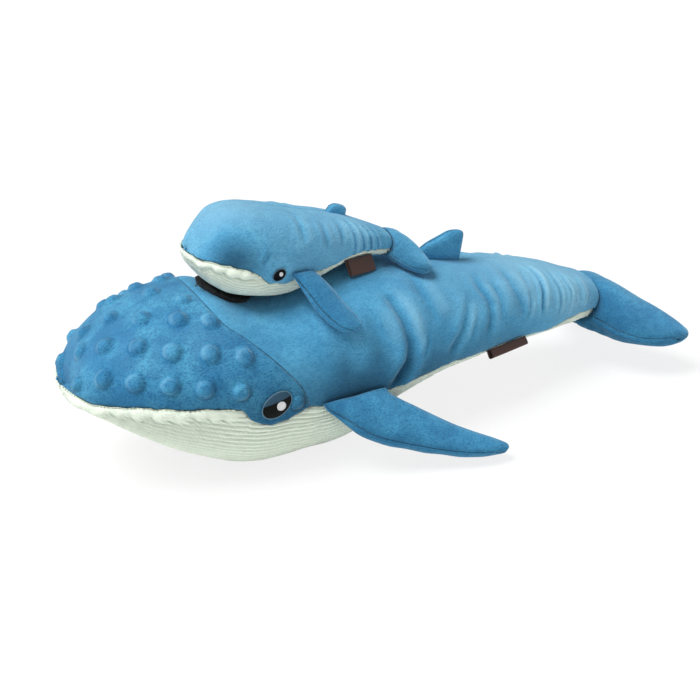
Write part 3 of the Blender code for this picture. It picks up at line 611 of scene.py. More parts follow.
sewing = {
    "stitchPitch": 0.0034, "wall": 0.0010, "coreSink": 0.0040, "puckerReach": 0.0030, "puckerDepth": 0.0003,
    "mother": {
        "headSeam": (0.0030, 0.0010), "flankSeam": (0.0042, 0.0020), "tailSeam": (0.0026, 0.0009),
        "backSeam": (0.0020, 0.0001), "mouthSeam": (0.0034, 0.0012),
        "thread": 0.0010, "headThread": (0.0007, 0.7), "mouthThread": 0.25, "tailThread": 0.90,
        "ribPitch": 0.0038, "ribHeight": 0.0015, "ribShade": 0.54, "lip": 0.0084, "tuckPitch": 0.0120,
        "lumps": ((0.036, 0.0014), (0.012, 0.00030)), "halfArc": 0.150, "fullArc": 0.118,
        "headCells": (230, 230), "backCells": (350, 96), "bellyCells": (124, 460),
    },
    "calf": {
        "flankSeam": (0.0028, 0.0013), "tailSeam": (0.0016, 0.0004), "backSeam": (0.0024, 0.0007),
        "thread": 0.0007, "mouthThread": 0.10, "tailThread": 0.12,
        "ribPitch": 0.0026, "ribHeight": 0.0010, "ribShade": 0.50, "lip": 0.0058, "tuckPitch": 0.0085,
        "lumps": ((0.018, 0.0007), (0.008, 0.00020)), "halfArc": 0.074, "fullArc": 0.056,
        "backCells": (250, 70), "bellyCells": (110, 300),
    },
}


def stitchWave(place):
    return 0.5 + 0.5 * math.cos(math.tau * place / sewing["stitchPitch"])


def pucker(point, gap):
    # small pulls at each stitch, along the length of the seam
    wave = stitchWave(point.x * 0.8 + point.z * 0.6 + abs(point.y) * 0.3)
    loose = 0.6 + 0.8 * noise.noise(point * 90.0)
    return -sewing["puckerDepth"] * wave * loose * math.exp(-gap / sewing["puckerReach"])


headDots = {
    "radius": 0.0068, "height": 0.0038,
    "near": [  # place in millimetres, then its size beside a full dot
        (-158.1, -21.3, 82, 0.95), (-142.5, -40.1, 89.8, 1), (-123.9, -53.6, 88.6, 1), (-103.2, -64.4, 86.5, 1),
        (-81.3, -71.7, 82.5, 1), (-57.4, -76.5, 76.8, 1), (-16.8, -79.3, 60.6, 0.86), (-149.6, -3, 98.1, 1),
        (-135.4, -22.5, 106.2, 1), (-116.9, -40.6, 109.1, 1), (-97.2, -54.7, 106.3, 1), (-73.6, -63.7, 103.6, 1),
        (-51.1, -68.7, 98.6, 1), (-123.8, 2.8, 115, 1), (-107.2, -21.6, 119.6, 1), (-86, -37.3, 120.8, 1),
        (-65.8, -45.1, 118.3, 1), (-91.4, 6, 126, 1), (-75.6, -19.1, 126.9, 0.85),
    ],
    "far": [(-141.9, 13.4, 104.5, 1), (-113.1, 29.2, 116.1, 1), (-94.5, 32.7, 121.5, 1), (-75.9, 30.6, 124.4, 1)],
}


def allDots():
    dots = [(Vector(p[:3]) / 1000, p[3]) for p in headDots["near"] + headDots["far"]]
    for x, y, z, size in headDots["near"]:
        twin = Vector((x, -y, z)) / 1000
        if min((twin - centre).length for centre, _ in dots) > 0.0135:
            dots.append((twin, size))
    return dots


def dotHeight(point, dots):
    for centre, size in dots:
        share = (point - centre).length / (headDots["radius"] * size)
        if share < 1.7:
            share *= 1.0 + 0.07 * noise.noise(point * 260.0)  # the pile blurs the rim
            dome = 1.0 / (1.0 + (share / 0.80) ** 6.0) - 0.011
            # painted shade behind and below a dot, a painted highlight in front of and above it, and a ring of painted
            # shade round its foot
            lean = 0.75 * (point.x - centre.x) - 0.65 * (point.z - centre.z)
            tone = 0.20 * hump(share - 1.04, 0.18) + 58.0 * lean * hump(share - 0.80, 0.34)
            return headDots["height"] * size * dome * (1.0 - 0.22 * share * share), tone
    return 0.0, 0.0


def noseInset(body, point):
    # the mother's snout is blunter than the bag under it
    if body is calfBody:
        return 0.0
    return 0.0034 * hump(math.hypot(point.x - body["noseX"], point.y * 0.6), 0.016)


def calmSnout(body, point):
    # no relief where all rows of a panel meet at the nose
    return easeBetween(math.hypot(point.x - body["noseX"], point.y), 0.001, 0.009)


paintedLightPatches = {  # place, reach and tone: below 0 a painted highlight, on the tops; above 0 painted shade, low on the sides and at the front
    "mother": [
        ((0.215, -0.02, 0.1), 0.045, -0.28), ((0.258, -0.02, 0.07), 0.03, -0.32), ((0.13, -0.045, 0.095), 0.04, -0.1),
        ((0.03, -0.08, 0.06), 0.032, 0.32), ((0.092, -0.072, 0.056), 0.024, 0.1),
        ((0.165, -0.055, 0.058), 0.026, 0.14),
        ((0.215, 0.02, 0.1), 0.045, -0.26), ((0.03, 0.08, 0.06), 0.032, 0.3), ((0.092, 0.072, 0.056), 0.024, 0.1),
        ((0.215, -0.045, 0.052), 0.024, 0.16), ((0.165, 0.055, 0.058), 0.026, 0.14),
        ((-0.12, -0.05, 0.112), 0.024, -0.1), ((-0.075, -0.055, 0.112), 0.02, -0.08),
    ],
    "calf": [
        ((0.03, 0, 0.058), 0.034, -0.34), ((0.023, -0.034, 0.032), 0.016, 0.72),
        ((0.115, -0.008, 0.046), 0.032, -0.22),
        ((0.034, -0.036, 0.026), 0.014, 0.22), ((0.075, -0.03, 0.036), 0.03, -0.06),
        ((0.034, 0.036, 0.026), 0.014, 0.22),
        ((0.023, 0.034, 0.032), 0.016, 0.68), ((0.14, -0.012, 0.022), 0.018, 0.14),
        ((0.14, 0.012, 0.022), 0.018, 0.14),
    ],
}


# painted light and shade: pale patches on the tops, darker patches low on the sides
def paintedLightAndShade(body, point):
    blobs = paintedLightPatches[body["name"]]
    total = sum(tone * hump((point - Vector(place)).length, reach) for place, reach, tone in blobs)
    if body is motherBody:  # painted shade: the sides are darker towards the belly
        total += 0.54 * (1.0 - easeBetween(point.z, 0.052, 0.096)) * (1.0 - easeBetween(point.x, 0.10, 0.23))
    return total


def bodyLumps(body, point):
    # loose filling: broad shallow lumps
    return sum(noise.noise(point / size) * amount for size, amount in sewing[body["name"]]["lumps"])


def asPanel(body, name, form, finish, node):
    label = body["name"]
    asPiece(f"{label}{name}", form, finish, label, [f"{label}_{node}"], body["place"], sewing["wall"])


def makeHead(body):
    craft, centres = sewing["mother"], allDots()
    rows, columns = craft["headCells"]
    ends = []
    for column in range(columns + 1):
        share = crowdEnds(column / columns)
        side, level = (-1.0, share * 2.0) if share < 0.5 else (1.0, (1.0 - share) * 2.0)
        ends.append((side, level, headEnd(body, level, side)))

    def placeAt(u, v):
        side, level, end = ends[round(v * columns)]
        x = body["noseX"] + (end - body["noseX"]) * crowdEnds(u, 0.25) ** 1.45
        return upperPoint(body, x, level, side)

    def reliefAt(u, v, point, gaps):
        mouth, calm = min(gaps[2], gaps[3]), calmSnout(body, point)
        dome, dotShade = dotHeight(point, centres)
        height = rolledEdge(gaps[1], *craft["headSeam"]) + rolledEdge(mouth, *craft["mouthSeam"])
        height += pucker(point, min(gaps[1], mouth)) * calm
        snout = 0.0022 * easeBetween(0.060 - gaps[0], 0.0, 0.06) + 0.0024 * hump(gaps[0] - 0.016, 0.016)
        snout = snout * easeBetween(mouth, 0.0, 0.012) + noseInset(body, point)
        height += dome - snout + bodyLumps(body, point) + 0.6 * clothHeight(body, point)
        lines = max(threadLine(gaps[1], *craft["headThread"]), 0.12 * threadLine(mouth, 0.0006) * calm)
        # painted shade and highlights round the dots, with the painted light and shade patches
        return height, underLines(dotShade + paintedLightAndShade(body, point), lines)

    form = shapedGrid((rows, columns), placeAt, reliefAt, awayFromAxis(body), True)
    asPanel(body, "HeadPlush", form, "dotted", "head_panel")


def makeBack(body, folds, side, word):
    craft = sewing[body["name"]]
    hasHead = body is motherBody
    rows, columns = craft["backCells"]
    pivotX, radius = body["tailPivot"][0], body["tailRadius"]
    spans = []
    for column in range(columns + 1):
        share = crowdEnds(column / columns)
        start = headEnd(body, share, side) if hasHead else body["noseX"]
        line = lambda x: upperPoint(body, x, share, side)
        spans.append((share, start, solveX(pivotX - radius, pivotX + radius, lambda z: tailX(body, z), line)))

    def placeAt(u, v):
        share, start, end = spans[round(v * columns)]
        along = crowdEnds(u, 0.35) if hasHead else 0.5 * u ** 1.45 + 0.5 * crowdEnds(u, 0.3) ** 1.45
        return upperPoint(body, start + (end - start) * along, share, side)

    def reliefAt(u, v, point, gaps):
        thread = craft["thread"]
        # no seam shows on the calf's brow
        top = gaps[3] + (0.0 if hasHead else 0.006 * (1.0 - easeBetween(u, 0.42, 0.55)))
        height = rolledEdge(gaps[1], *craft["tailSeam"]) + rolledEdge(gaps[2], *craft["flankSeam"])
        height += rolledEdge(top, *craft["backSeam"])
        lines = max(threadLine(gaps[1], thread, craft["tailThread"]), threadLine(gaps[2], thread, craft["mouthThread"]))
        if hasHead:
            height += rolledEdge(gaps[0], *craft["headSeam"])
            lines = max(lines, threadLine(gaps[0], *craft["headThread"]))
        else:
            lines = max(lines, threadLine(top, thread, 0.15))
            brow = hump(point.x - body["noseX"] - 0.008, 0.013)
            height -= 0.0030 * brow * math.sin(math.pi * clamp(v)) ** 1.2
        height += pucker(point, min(gaps[1], gaps[2]))
        inside = easeBetween(min(gaps[1], gaps[2] + 0.003), 0.0, 0.005)
        smoothTop = easeBetween(gaps[3], 0.003, 0.024 if hasHead else 0.010)
        fold, tone = foldHeight(folds, point)
        slack = clothHeight(body, point) * (0.25 + 0.75 * smoothTop)
        height += (fold * smoothTop + slack) * inside + bodyLumps(body, point)
        # painted shade in the fold valleys and where the slack sinks, painted highlights on the fold ridges and where
        # it swells
        return height, underLines(tone * smoothTop * inside - slack * 110.0 + paintedLightAndShade(body, point), lines)

    form = shapedGrid((rows, columns), placeAt, reliefAt, awayFromAxis(body), True)
    asPanel(body, f"Back{word}Plush", form, "blue" if hasHead else "calfBlue", f"back_{word.lower()}")


def mouthLevel(body, x):
    (start, high), (end, low) = body["mouthLine"]
    share = shareAt(body, x)
    if start < share < end:
        return (high + (low - high) * (share - start) / (end - start)) * body["height"]
    return seamLevel(body, x)


def bellyHalf(body, share, side, halfColumns, steps=160):
    # half a row of the belly's grid, from the keel to the flank seam: points, and their place across the ribs
    craft, start = sewing[body["name"]], body["noseX"]
    samples, lengths = [], [0.0]
    for step in range(steps + 1):
        x = start + (body["tailPivot"][0] + body["tailRadius"] - start) * share
        for _ in range(3):  # the rear edge follows the round tail joint
            x = start + (tailX(body, lowerPoint(body, x, step / steps, side).z) - start) * share
        samples.append(lowerPoint(body, x, step / steps, side))
    for first, second in zip(samples, samples[1:]):
        lengths.append(lengths[-1] + (second - first).length)
    spare = (mouthLevel(body, samples[-1].x) - seamLevel(body, samples[-1].x)) * 1.12
    gather = (clamp(lengths[-1] + spare, 0.012, craft["fullArc"]) / craft["fullArc"]) ** -0.8
    half, spot = [], 0
    for column in range(halfColumns + 1):
        goal = min(craft["halfArc"] * column / halfColumns, lengths[-1])
        while spot < steps - 1 and lengths[spot + 1] < goal:
            spot += 1
        along = clamp((goal - lengths[spot]) / max(lengths[spot + 1] - lengths[spot], 1e-9))
        half.append((samples[spot].lerp(samples[spot + 1], along), goal * side * gather))
    return half


def makeBelly(body):
    # ribs run between the keel and the mouth line, and crowd together towards the snout
    craft, length = sewing[body["name"]], body["length"]
    rows, columns = craft["bellyCells"]
    lines = []
    for row in range(rows + 1):
        share = row / rows
        share = 0.45 * share ** 1.6 + 0.55 * crowdEnds(share, 0.2) ** 1.35
        left, right = (bellyHalf(body, share, side, columns // 2) for side in (-1.0, 1.0))
        lines.append(left[:0:-1] + right)

    def placeAt(u, v):
        return lines[round(u * rows)][round(v * columns)][0].copy()

    def reliefAt(u, v, point, gaps):
        _, arc = lines[round(u * rows)][round(v * columns)]
        mouth, along = min(gaps[2], gaps[3]), point.x - body["noseX"]
        groove = abs(math.cos(math.pi * (arc / craft["ribPitch"] + 0.30 * noise.noise(point * 24.0)))) ** 0.8
        front = 1.0 - easeBetween(along, length * 0.20, length * 0.25)
        loose = 0.45 * noise.noise(Vector((point.x * 36.0, 2.0, 5.0)))
        tuck = math.cos(math.tau * ((point.x + 0.5 * mouth) / craft["tuckPitch"] + loose))
        band = craft["lip"] * (0.98 + 0.16 * tuck + 0.34 * noise.noise(Vector((point.x * 62.0, 4.0, 1.0))))
        smooth = front * (1.0 - easeBetween(mouth, band - 0.0010, band + 0.0008))
        height = rolledEdge(mouth, *craft["flankSeam"]) * (1.0 - 0.5 * front) + rolledEdge(gaps[1], *craft["tailSeam"])
        height += craft["ribHeight"] * (groove * (1.0 - smooth) - 1.0 + smooth * 0.95) - noseInset(body, point)
        height += front * craft["lip"] * 0.27 * hump(mouth - band * 0.50, band * 0.46) * (0.86 + 0.30 * tuck)
        tail = easeBetween(along, length * 0.90, length * 0.94)
        height += tail * 0.0010 * math.sin(math.tau * point.x / (craft["tuckPitch"] * 0.42))
        height += 0.7 * bodyLumps(body, point)
        if body is calfBody:  # the jowls hang lower than the chin
            jowl = easeBetween(abs(point.y), 0.012, 0.027) * hump(along - 0.055, 0.030)
            height += 0.0030 * jowl * easeBetween(mouth, 0.002, 0.010)
        shade = craft["ribShade"] * (1.0 - groove) ** 1.25 * (1.0 - smooth)
        shade += 0.42 * front * hump(mouth - band - 0.0003, 0.0008)
        shade *= 1.0 - 0.6 * easeBetween(along, length * 0.46, length * 0.56)
        shade += 0.16 * smooth * easeBetween(-tuck, 0.55, 0.98)
        return height, clamp(shade + threadLine(mouth, 0.0006, 0.10)) * calmSnout(body, point)

    form = shapedGrid((rows, columns), placeAt, reliefAt, awayFromAxis(body), True)
    if body is motherBody:
        for vert in form.verts:  # it rests flat on the floor
            vert.co.z = max(vert.co.z, 0.0004)
    asPanel(body, "BellyPlush", form, "mint", "belly_panel")


capStart = 0.97  # the share of a bag's rows in front of its rear cap


def makeBag(body, cells, reliefAt):
    # the whole skin of a body as one closed bag
    def placeAt(u, v):
        x = body["noseX"] + body["length"] * (0.0006 + 0.9990 * min(u / capStart, 1.0) ** 1.5)
        _, ridge, _, keel = sectionAt(body, x)
        point = bodyPoint(body, x, math.tau * v)
        if u > capStart:
            point = Vector((x, 0.0, body["baseZ"] + (ridge + keel) / 2)).lerp(point, (1.0 - u) / (1.0 - capStart))
        return point

    return shapedGrid(cells, placeAt, reliefAt, awayFromAxis(body), True)


def makeCore(body):
    label, (pivotX, pivotZ) = body["name"], body["tailPivot"]
    sink = sewing["coreSink"] * (1.0 if body is motherBody else 0.7)

    def reliefAt(u, v, point, gaps):
        along = point.x - body["noseX"]
        thin = 1.0 - 0.35 * easeBetween(along, body["length"] * 0.90, body["length"] * 0.97)
        return (-sink * thin - 0.0035 * hump(along, 0.024) if u <= capStart else 0.0), 0.0

    form = makeBag(body, (100, 56), reliefAt)
    limit = body["tailRadius"] - 0.0006
    for vert in form.verts:
        out = Vector((vert.co.x - pivotX, 0.0, vert.co.z - pivotZ))
        if out.x > 0 and out.length > limit:
            out *= limit / out.length
            vert.co.x, vert.co.z = pivotX + out.x, pivotZ + out.z
        if body is motherBody:
            vert.co.z = max(vert.co.z, 0.0016)
    bmesh.ops.remove_doubles(form, verts=form.verts, dist=1e-5)
    bmesh.ops.recalc_face_normals(form, faces=form.faces)
    asPiece(f"{label}Stuffing", form, "backing", label, [f"{label}_stuffing"], body["place"], 0.0)


# Cloth simulation: each body's skin as a bag of cloth with slack along its length, sewn down at its seams

slackCloth = {
    "cells": (110, 84), "sewnReach": 0.62, "frames": 20, "quality": 6, "pressure": 4, "mass": 0.25,
    "stretch": 12, "shear": 4, "bend": 0.25,
    "mother": {"voxel": 0.005, "slack": 0.075, "from": (0.3, 0.5), "most": 0.0034, "gain": 0.6},
    "calf": {"voxel": 0.0034, "slack": 0.11, "from": (0.25, 0.5), "most": 0.0016, "gain": 1},
}
settled = {}


def settleCloth(body):
    label = body["name"]
    craft = slackCloth[label]

    def reliefAt(u, v, point, gaps):
        return -0.0004 + 0.0003 * noise.noise(point * 160.0), 0.0

    form = makeBag(body, slackCloth["cells"], reliefAt)
    bmesh.ops.remove_doubles(form, verts=form.verts, dist=1e-5)
    draft = addObject(f"{label}Draft", form)
    remesh = draft.modifiers.new("evenCells", "REMESH")
    remesh.mode, remesh.voxel_size = "VOXEL", craft["voxel"]
    even = bpy.data.meshes.new_from_object(draft.evaluated_get(bpy.context.evaluated_depsgraph_get()))
    bpy.data.objects.remove(draft)
    bag = addObject(f"{label}Bag", even)
    sewn = bag.vertex_groups.new(name="sewn")
    reach = craft["voxel"] * slackCloth["sewnReach"]
    for vert in even.vertices:
        x, y, z = vert.co
        atFlank = abs(z - body["baseZ"] - seamLevel(body, x)) < reach
        atHead = body is motherBody and abs(x - headX(body, z)) < reach
        if atFlank or atHead or x > tailX(body, z) - reach or z < body["baseZ"] + 0.003:
            sewn.add([vert.index], 1.0, "REPLACE")
    bag.shape_key_add(name="asSewn")
    loose = bag.shape_key_add(name="asCut")
    low, high = (body["noseX"] + share * body["length"] for share in craft["from"])
    for vert, cut in zip(even.vertices, loose.data):
        x = vert.co.x
        grown = max(x - high, 0.0) + (clamp((x - low) / (high - low)) ** 2) * (high - low) / 2
        cut.co = (x + craft["slack"] * grown, vert.co.y, vert.co.z)
    cloth = bag.modifiers.new("slackPlush", "CLOTH")
    feel = cloth.settings
    feel.quality, feel.mass = slackCloth["quality"], slackCloth["mass"]
    feel.tension_stiffness = feel.compression_stiffness = slackCloth["stretch"]
    feel.shear_stiffness, feel.bending_stiffness = slackCloth["shear"], slackCloth["bend"]
    feel.use_pressure, feel.uniform_pressure_force = True, slackCloth["pressure"]
    feel.effector_weights.gravity = 0.0
    feel.vertex_group_mass = "sewn"
    feel.rest_shape_key = loose
    cloth.collision_settings.use_collision = False
    cloth.point_cache.frame_end = slackCloth["frames"]
    for step in range(slackCloth["frames"]):
        scene.frame_set(step + 1)
    after = bag.evaluated_get(bpy.context.evaluated_depsgraph_get()).to_mesh()
    places, heights = KDTree(len(even.vertices)), []
    for before, moved in zip(even.vertices, after.vertices):
        places.insert(before.co, before.index)
        heights.append(clamp((moved.co - before.co).dot(before.normal), -craft["most"], craft["most"]))
    places.balance()
    settled[label] = (places, heights, craft["voxel"] * 1.7)
    print(f"  {label}: {len(heights)} points, moved {min(heights) * 1000:.1f} to {max(heights) * 1000:.1f} mm")
    bpy.data.objects.remove(bag)
    scene.frame_set(1)


def clothHeight(body, point):
    if body["name"] not in settled:
        return 0.0
    places, heights, reach = settled[body["name"]]
    total, weight = 0.0, 1e-9
    for _, index, gap in places.find_range(point, reach):
        share = (1.0 - (gap / reach) ** 2) ** 2
        total += heights[index] * share
        weight += share
    return total / weight * slackCloth[body["name"]]["gain"]


print("Cloth")
settleCloth(motherBody)
settleCloth(calfBody)

print("Body panels")
makeHead(motherBody)
for side, word in bothSides:
    makeBack(motherBody, motherFolds, side, word)
    makeBack(calfBody, calfFolds, side, word)
for eachBody in (motherBody, calfBody):
    makeBelly(eachBody)
    makeCore(eachBody)


# Limbs: rows give the place along the span, front and rear edge, thickness and sag

limbShapes = {
    "motherFlipper": {
        "root": 0.052, "span": 0.0725, "thick": 0.017, "slope": 41, "yaw": 3.5, "place": (0.00199, 0.08221, 0.0555),
        "rows": [
            (0, 0, 1, 0.2, 0), (0.06, 0.03, 1.04, 0.55, -0.016), (0.18, 0.17, 1.22, 0.88, -0.042),
            (0.43, 0.47, 1.63, 1, -0.075), (0.65, 1.02, 2.02, 0.96, -0.084), (0.84, 1.56, 2.37, 0.86, -0.058),
            (0.96, 1.98, 2.5, 0.68, -0.016), (1, 2.22, 2.46, 0.45, 0),
        ],
        "lip": 0.0012, "rim": 0.0042, "seamTurn": 74, "paintedShading": 0.36, "cells": (60, 84),
    },
    "calfFlipper": {
        "root": 0.019, "span": 0.053, "thick": 0.0095, "slope": 40, "yaw": 9.5, "place": (0.06623, 0.0404, 0.0185),
        "rows": [
            (0, 0, 1, 0.37, 0), (0.1, 0.09, 1.19, 0.7, -0.01), (0.28, 0.21, 1.44, 1, -0.026),
            (0.52, 0.37, 1.67, 0.98, -0.036), (0.76, 0.62, 1.89, 0.84, -0.022), (0.93, 0.95, 1.91, 0.62, -0.006),
            (1, 1.28, 1.68, 0.4, 0),
        ],
        "lip": 0.0009, "rim": 0.0026, "seamTurn": 72, "paintedShading": 0.2, "cells": (48, 64),
    },
    "fin": {
        "rows": [
            (0, -0.05, 1, 0.4, 0), (0.2, 0.09, 1.01, 0.8, 0), (0.5, 0.32, 1.02, 1, 0),
            (0.8, 0.58, 1.02, 0.8, 0), (1, 0.72, 0.98, 0.4, 0),
        ],
        "calfRows": [
            (0, 0, 1, 1, 0), (0.35, 0.05, 0.98, 1, 0), (0.7, 0.15, 0.92, 0.9, 0),
            (1, 0.32, 0.76, 0.6, 0),
        ],
    },
    "fluke": {
        "rows": [
            (0, 0.06, 0.78, 1.05, 0.08), (0.16, 0.06, 0.82, 1.03, 0.14), (0.27, 0.08, 0.88, 0.96, 0.26),
            (0.36, 0.13, 0.94, 0.84, 0.4), (0.46, 0.2, 1.01, 0.75, 0.58), (0.66, 0.31, 1.1, 0.57, 0.83),
            (0.84, 0.47, 1.14, 0.38, 0.97), (0.95, 0.65, 1.09, 0.29, 1.01), (1, 0.8, 1.02, 0.2, 1.03),
        ],
        "calfRows": [
            (0, 0.1, 0.8, 0.85, 0), (0.2, 0.14, 0.86, 0.84, 0.1), (0.34, 0.22, 0.93, 0.77, 0.28),
            (0.48, 0.3, 1, 0.68, 0.5), (0.66, 0.4, 1.04, 0.54, 0.74), (0.84, 0.54, 1.03, 0.44, 0.9),
            (0.95, 0.66, 0.98, 0.36, 0.98), (1, 0.74, 0.92, 0.26, 1),
        ],
    },
    "crownPower": 0.62, "flukeCrest": 0.3,
}


def crown(share, crest):
    bent = clamp(share) ** (math.log(0.5) / math.log(crest))
    return max(4.0 * bent * (1.0 - bent), 0.0) ** limbShapes["crownPower"]


def readRows(rows, along):
    keys, *columns = zip(*rows)
    return [readCurve(keys, column, along) for column in columns]


def tipOf(along, start):
    # a limb's outline closes in a round tip
    return math.sqrt(max(1.0 - clamp((along - start) / (1.0 - start)) ** 2, 0.0)) if along > start else 1.0


def limbHeight(inset, chord, rim, full, crest=0.5):
    # half the thickness of a stuffed limb: a round rim, then a crown
    edge = min(inset, chord - inset)
    rounded = math.sqrt(max(1.0 - (1.0 - clamp(edge / rim)) ** 2, 0.0))
    return rim * rounded + max(full - rim, 0.0) * crown(inset / chord, crest) * easeBetween(edge, 0.0, rim * 2.2)


def acrossLimb(share, chord, rim, seamTurn, upper):
    # the front seam lies on top of the rim, so the upper face stops short of it and the lower one wraps round
    if upper:
        start = rim * (1.0 - math.cos(seamTurn))
        return start + (chord - start) * crowdEnds(share, 0.72), 1.0
    if share < 0.32:
        turn = seamTurn - (seamTurn + math.pi / 2) * share / 0.32
        return rim * (1.0 - math.cos(turn)), math.copysign(1.0, turn)
    return rim + (chord - rim) * (1.0 - (1.0 - (share - 0.32) / 0.68) ** 1.7), -1.0


def limbSeams(point, gaps, lip):
    # how the two faces turn in at their seam, with a dark thread and the dents of its stitches
    stitch, seam = stitchWave(point.y + point.x * 0.7 + point.z * 0.4), gaps[2] - lip * 1.3
    height = rolledEdge(gaps[2], lip * 2.0, lip * 0.85) + rolledEdge(gaps[3], lip * 1.4, lip * 0.40)
    height -= 0.0003 * stitch * hump(seam, 0.0010)
    shade = 0.58 * (1.0 - easeBetween(gaps[2], lip * 0.1, lip * 1.5)) + 0.20 * (1.0 - easeBetween(gaps[3], 0.0, lip))
    return height, clamp(shade + 0.20 * stitch * hump(seam, 0.0009))


def limbCut(shape, scale, outline, tip, rimShare, share, upper, crest=0.5):
    # the place and the height at a share of the way across the limb
    front, rear, swell = outline
    middle, half = (front + rear) / 2, (rear - front) / 2 * max(tip, 0.02)
    chord, full = 2.0 * half * scale, swell * shape["thick"] / 2 * tip
    rim = max(min(shape["rim"] * rimShare, chord / 3.0, full * 0.90), 1e-5)
    inset, above = acrossLimb(share, chord, rim, math.radians(shape["seamTurn"]), upper)
    return (middle - half) * scale + inset, above * limbHeight(inset, chord, rim, full, crest)


def facing(sign):
    return lambda point: Vector((0.0, 0.0, sign))


def limbFace(shape, rows, sign, wrinkle, seed):
    # one fabric face of a flat stuffed limb, from its root to its round tip
    span = shape["span"]

    def placeAt(u, v):
        along = 1.0 - (1.0 - u) ** 1.5
        *outline, sag = readRows(rows, along)
        rimShare = 0.30 + 0.70 * easeBetween(along, 0.0, 0.40)
        x, level = limbCut(shape, shape["root"], outline, tipOf(along, 0.90), rimShare, v, sign > 0)
        return Vector((x, along * span, sag * span + level))

    def reliefAt(u, v, point, gaps):
        edge = min(gaps[2], gaps[3])
        pull = noise.noise(Vector((point.x * 60.0 + seed, point.y * 28.0, seed)))
        ripple = math.sin(point.x * 520.0 + seed + 4.0 * noise.noise(point * 30.0))
        pull += 0.6 * ripple * easeBetween(gaps[0], 0.002, 0.008) * math.exp(-gaps[0] / (span * 0.22))
        pull *= wrinkle
        height, shade = limbSeams(point, gaps, shape["lip"])
        # painted shade along the front seam
        shade = max(shade, shape["paintedShading"] * math.exp(-gaps[2] / (span * 0.30)))
        # painted highlights on the wrinkles' ridges, painted shade in their hollows
        return height + pull * easeBetween(edge, 0.0, 0.006), shade - pull * 90.0 * easeBetween(edge, 0.001, 0.006)

    return shapedGrid(shape["cells"], placeAt, reliefAt, facing(sign))


def makeFlipper(body, side, word):
    label = body["name"]
    shape, rider = limbShapes[f"{label}Flipper"], f"{label}_flipper_{word.lower()}"
    x, y, z = shape["place"]
    matrix = body["place"] @ Matrix.Translation((x, y * side, z))
    matrix @= Matrix.Rotation(math.radians(-shape["yaw"]) * side, 4, "Z")
    matrix @= Matrix.Rotation(math.radians(-shape["slope"]) * side, 4, "X") @ Matrix.Diagonal((1.0, side, 1.0, 1.0))
    for sign, face, extra in ((1.0, "Upper", [f"{rider}_filling"]), (-1.0, "Lower", [])):
        form = limbFace(shape, shape["rows"], sign, 0.0008, 3.0 + side + sign)
        bmesh.ops.transform(form, matrix=matrix, verts=form.verts)
        if side < 0:
            bmesh.ops.reverse_faces(form, faces=form.faces)
        nodes = [f"{rider}_{face.lower()}"] + extra
        asPiece(f"{label}Flipper{word}{face}", form, "limb", rider, nodes, None, sewing["wall"])


print("Flippers")
for side, word in bothSides:
    makeFlipper(motherBody, side, word)
    makeFlipper(calfBody, side, word)


fins = {
    "mother": {
        "root": 0.048, "span": 0.019, "thick": 0.011, "place": (0.11598, 0, 0.1212), "fall": 5.6, "cells": (26, 48),
        "lip": 0.0009, "rim": 0.0016, "seamTurn": 0, "paintedShading": 0, "rows": "rows", "finish": "blue",
    },
    "calf": {
        "root": 0.018, "span": 0.0062, "thick": 0.008, "place": (0.10974, 0, 0.0514), "fall": 14, "cells": (18, 36),
        "lip": 0.0006, "rim": 0.0011, "seamTurn": 0, "paintedShading": 0, "rows": "calfRows", "finish": "calfBlue",
    },
}


def makeFin(body):
    label, wall = body["name"], sewing["wall"] * 0.8
    shape, rider = fins[label], f"{label}_fin"
    turn = Matrix.Rotation(math.radians(shape["fall"]), 4, "Y") @ Matrix.Rotation(math.radians(90.0), 4, "X")
    matrix = body["place"] @ Matrix.Translation(shape["place"]) @ turn
    for sign, word in ((1.0, "left"), (-1.0, "right")):
        form = limbFace(shape, limbShapes["fin"][shape["rows"]], sign, 0.0003, 9.0 + sign)
        for vert in form.verts:  # the root follows the back
            foot = turn @ Vector((vert.co.x, 0.0, 0.0)) + Vector(shape["place"])
            drop = max(foot.z - backLevel(body, foot.x, 0.0) + 0.0012, 0.0)
            vert.co.y -= drop * (1.0 - easeBetween(vert.co.y, 0.0, shape["span"] * 0.5))
        nodes = [f"{rider}_{word}"] + (["mother_fin_filling"] if body is motherBody and sign > 0 else [])
        name = f"{label}Fin{word.capitalize()}"
        asPiece(name, form, shape["finish"], rider, nodes, matrix, wall)


flukes = {
    "mother": {
        "halfSpan": 0.0755, "length": 0.076, "thick": 0.0405, "droop": 0.0208, "place": (0.26801, 0.055),
        "lip": 0.0013, "rim": 0.0027, "seamTurn": 62, "rootShade": 0.45, "cells": (140, 80),
    },
    "calf": {
        "halfSpan": 0.036, "length": 0.0385, "thick": 0.0205, "droop": 0.015, "place": (0.14849, 0.02368),
        "lip": 0.0006, "rim": 0.0018, "seamTurn": 24, "rootShade": 0.06, "cells": (90, 52),
    },
}


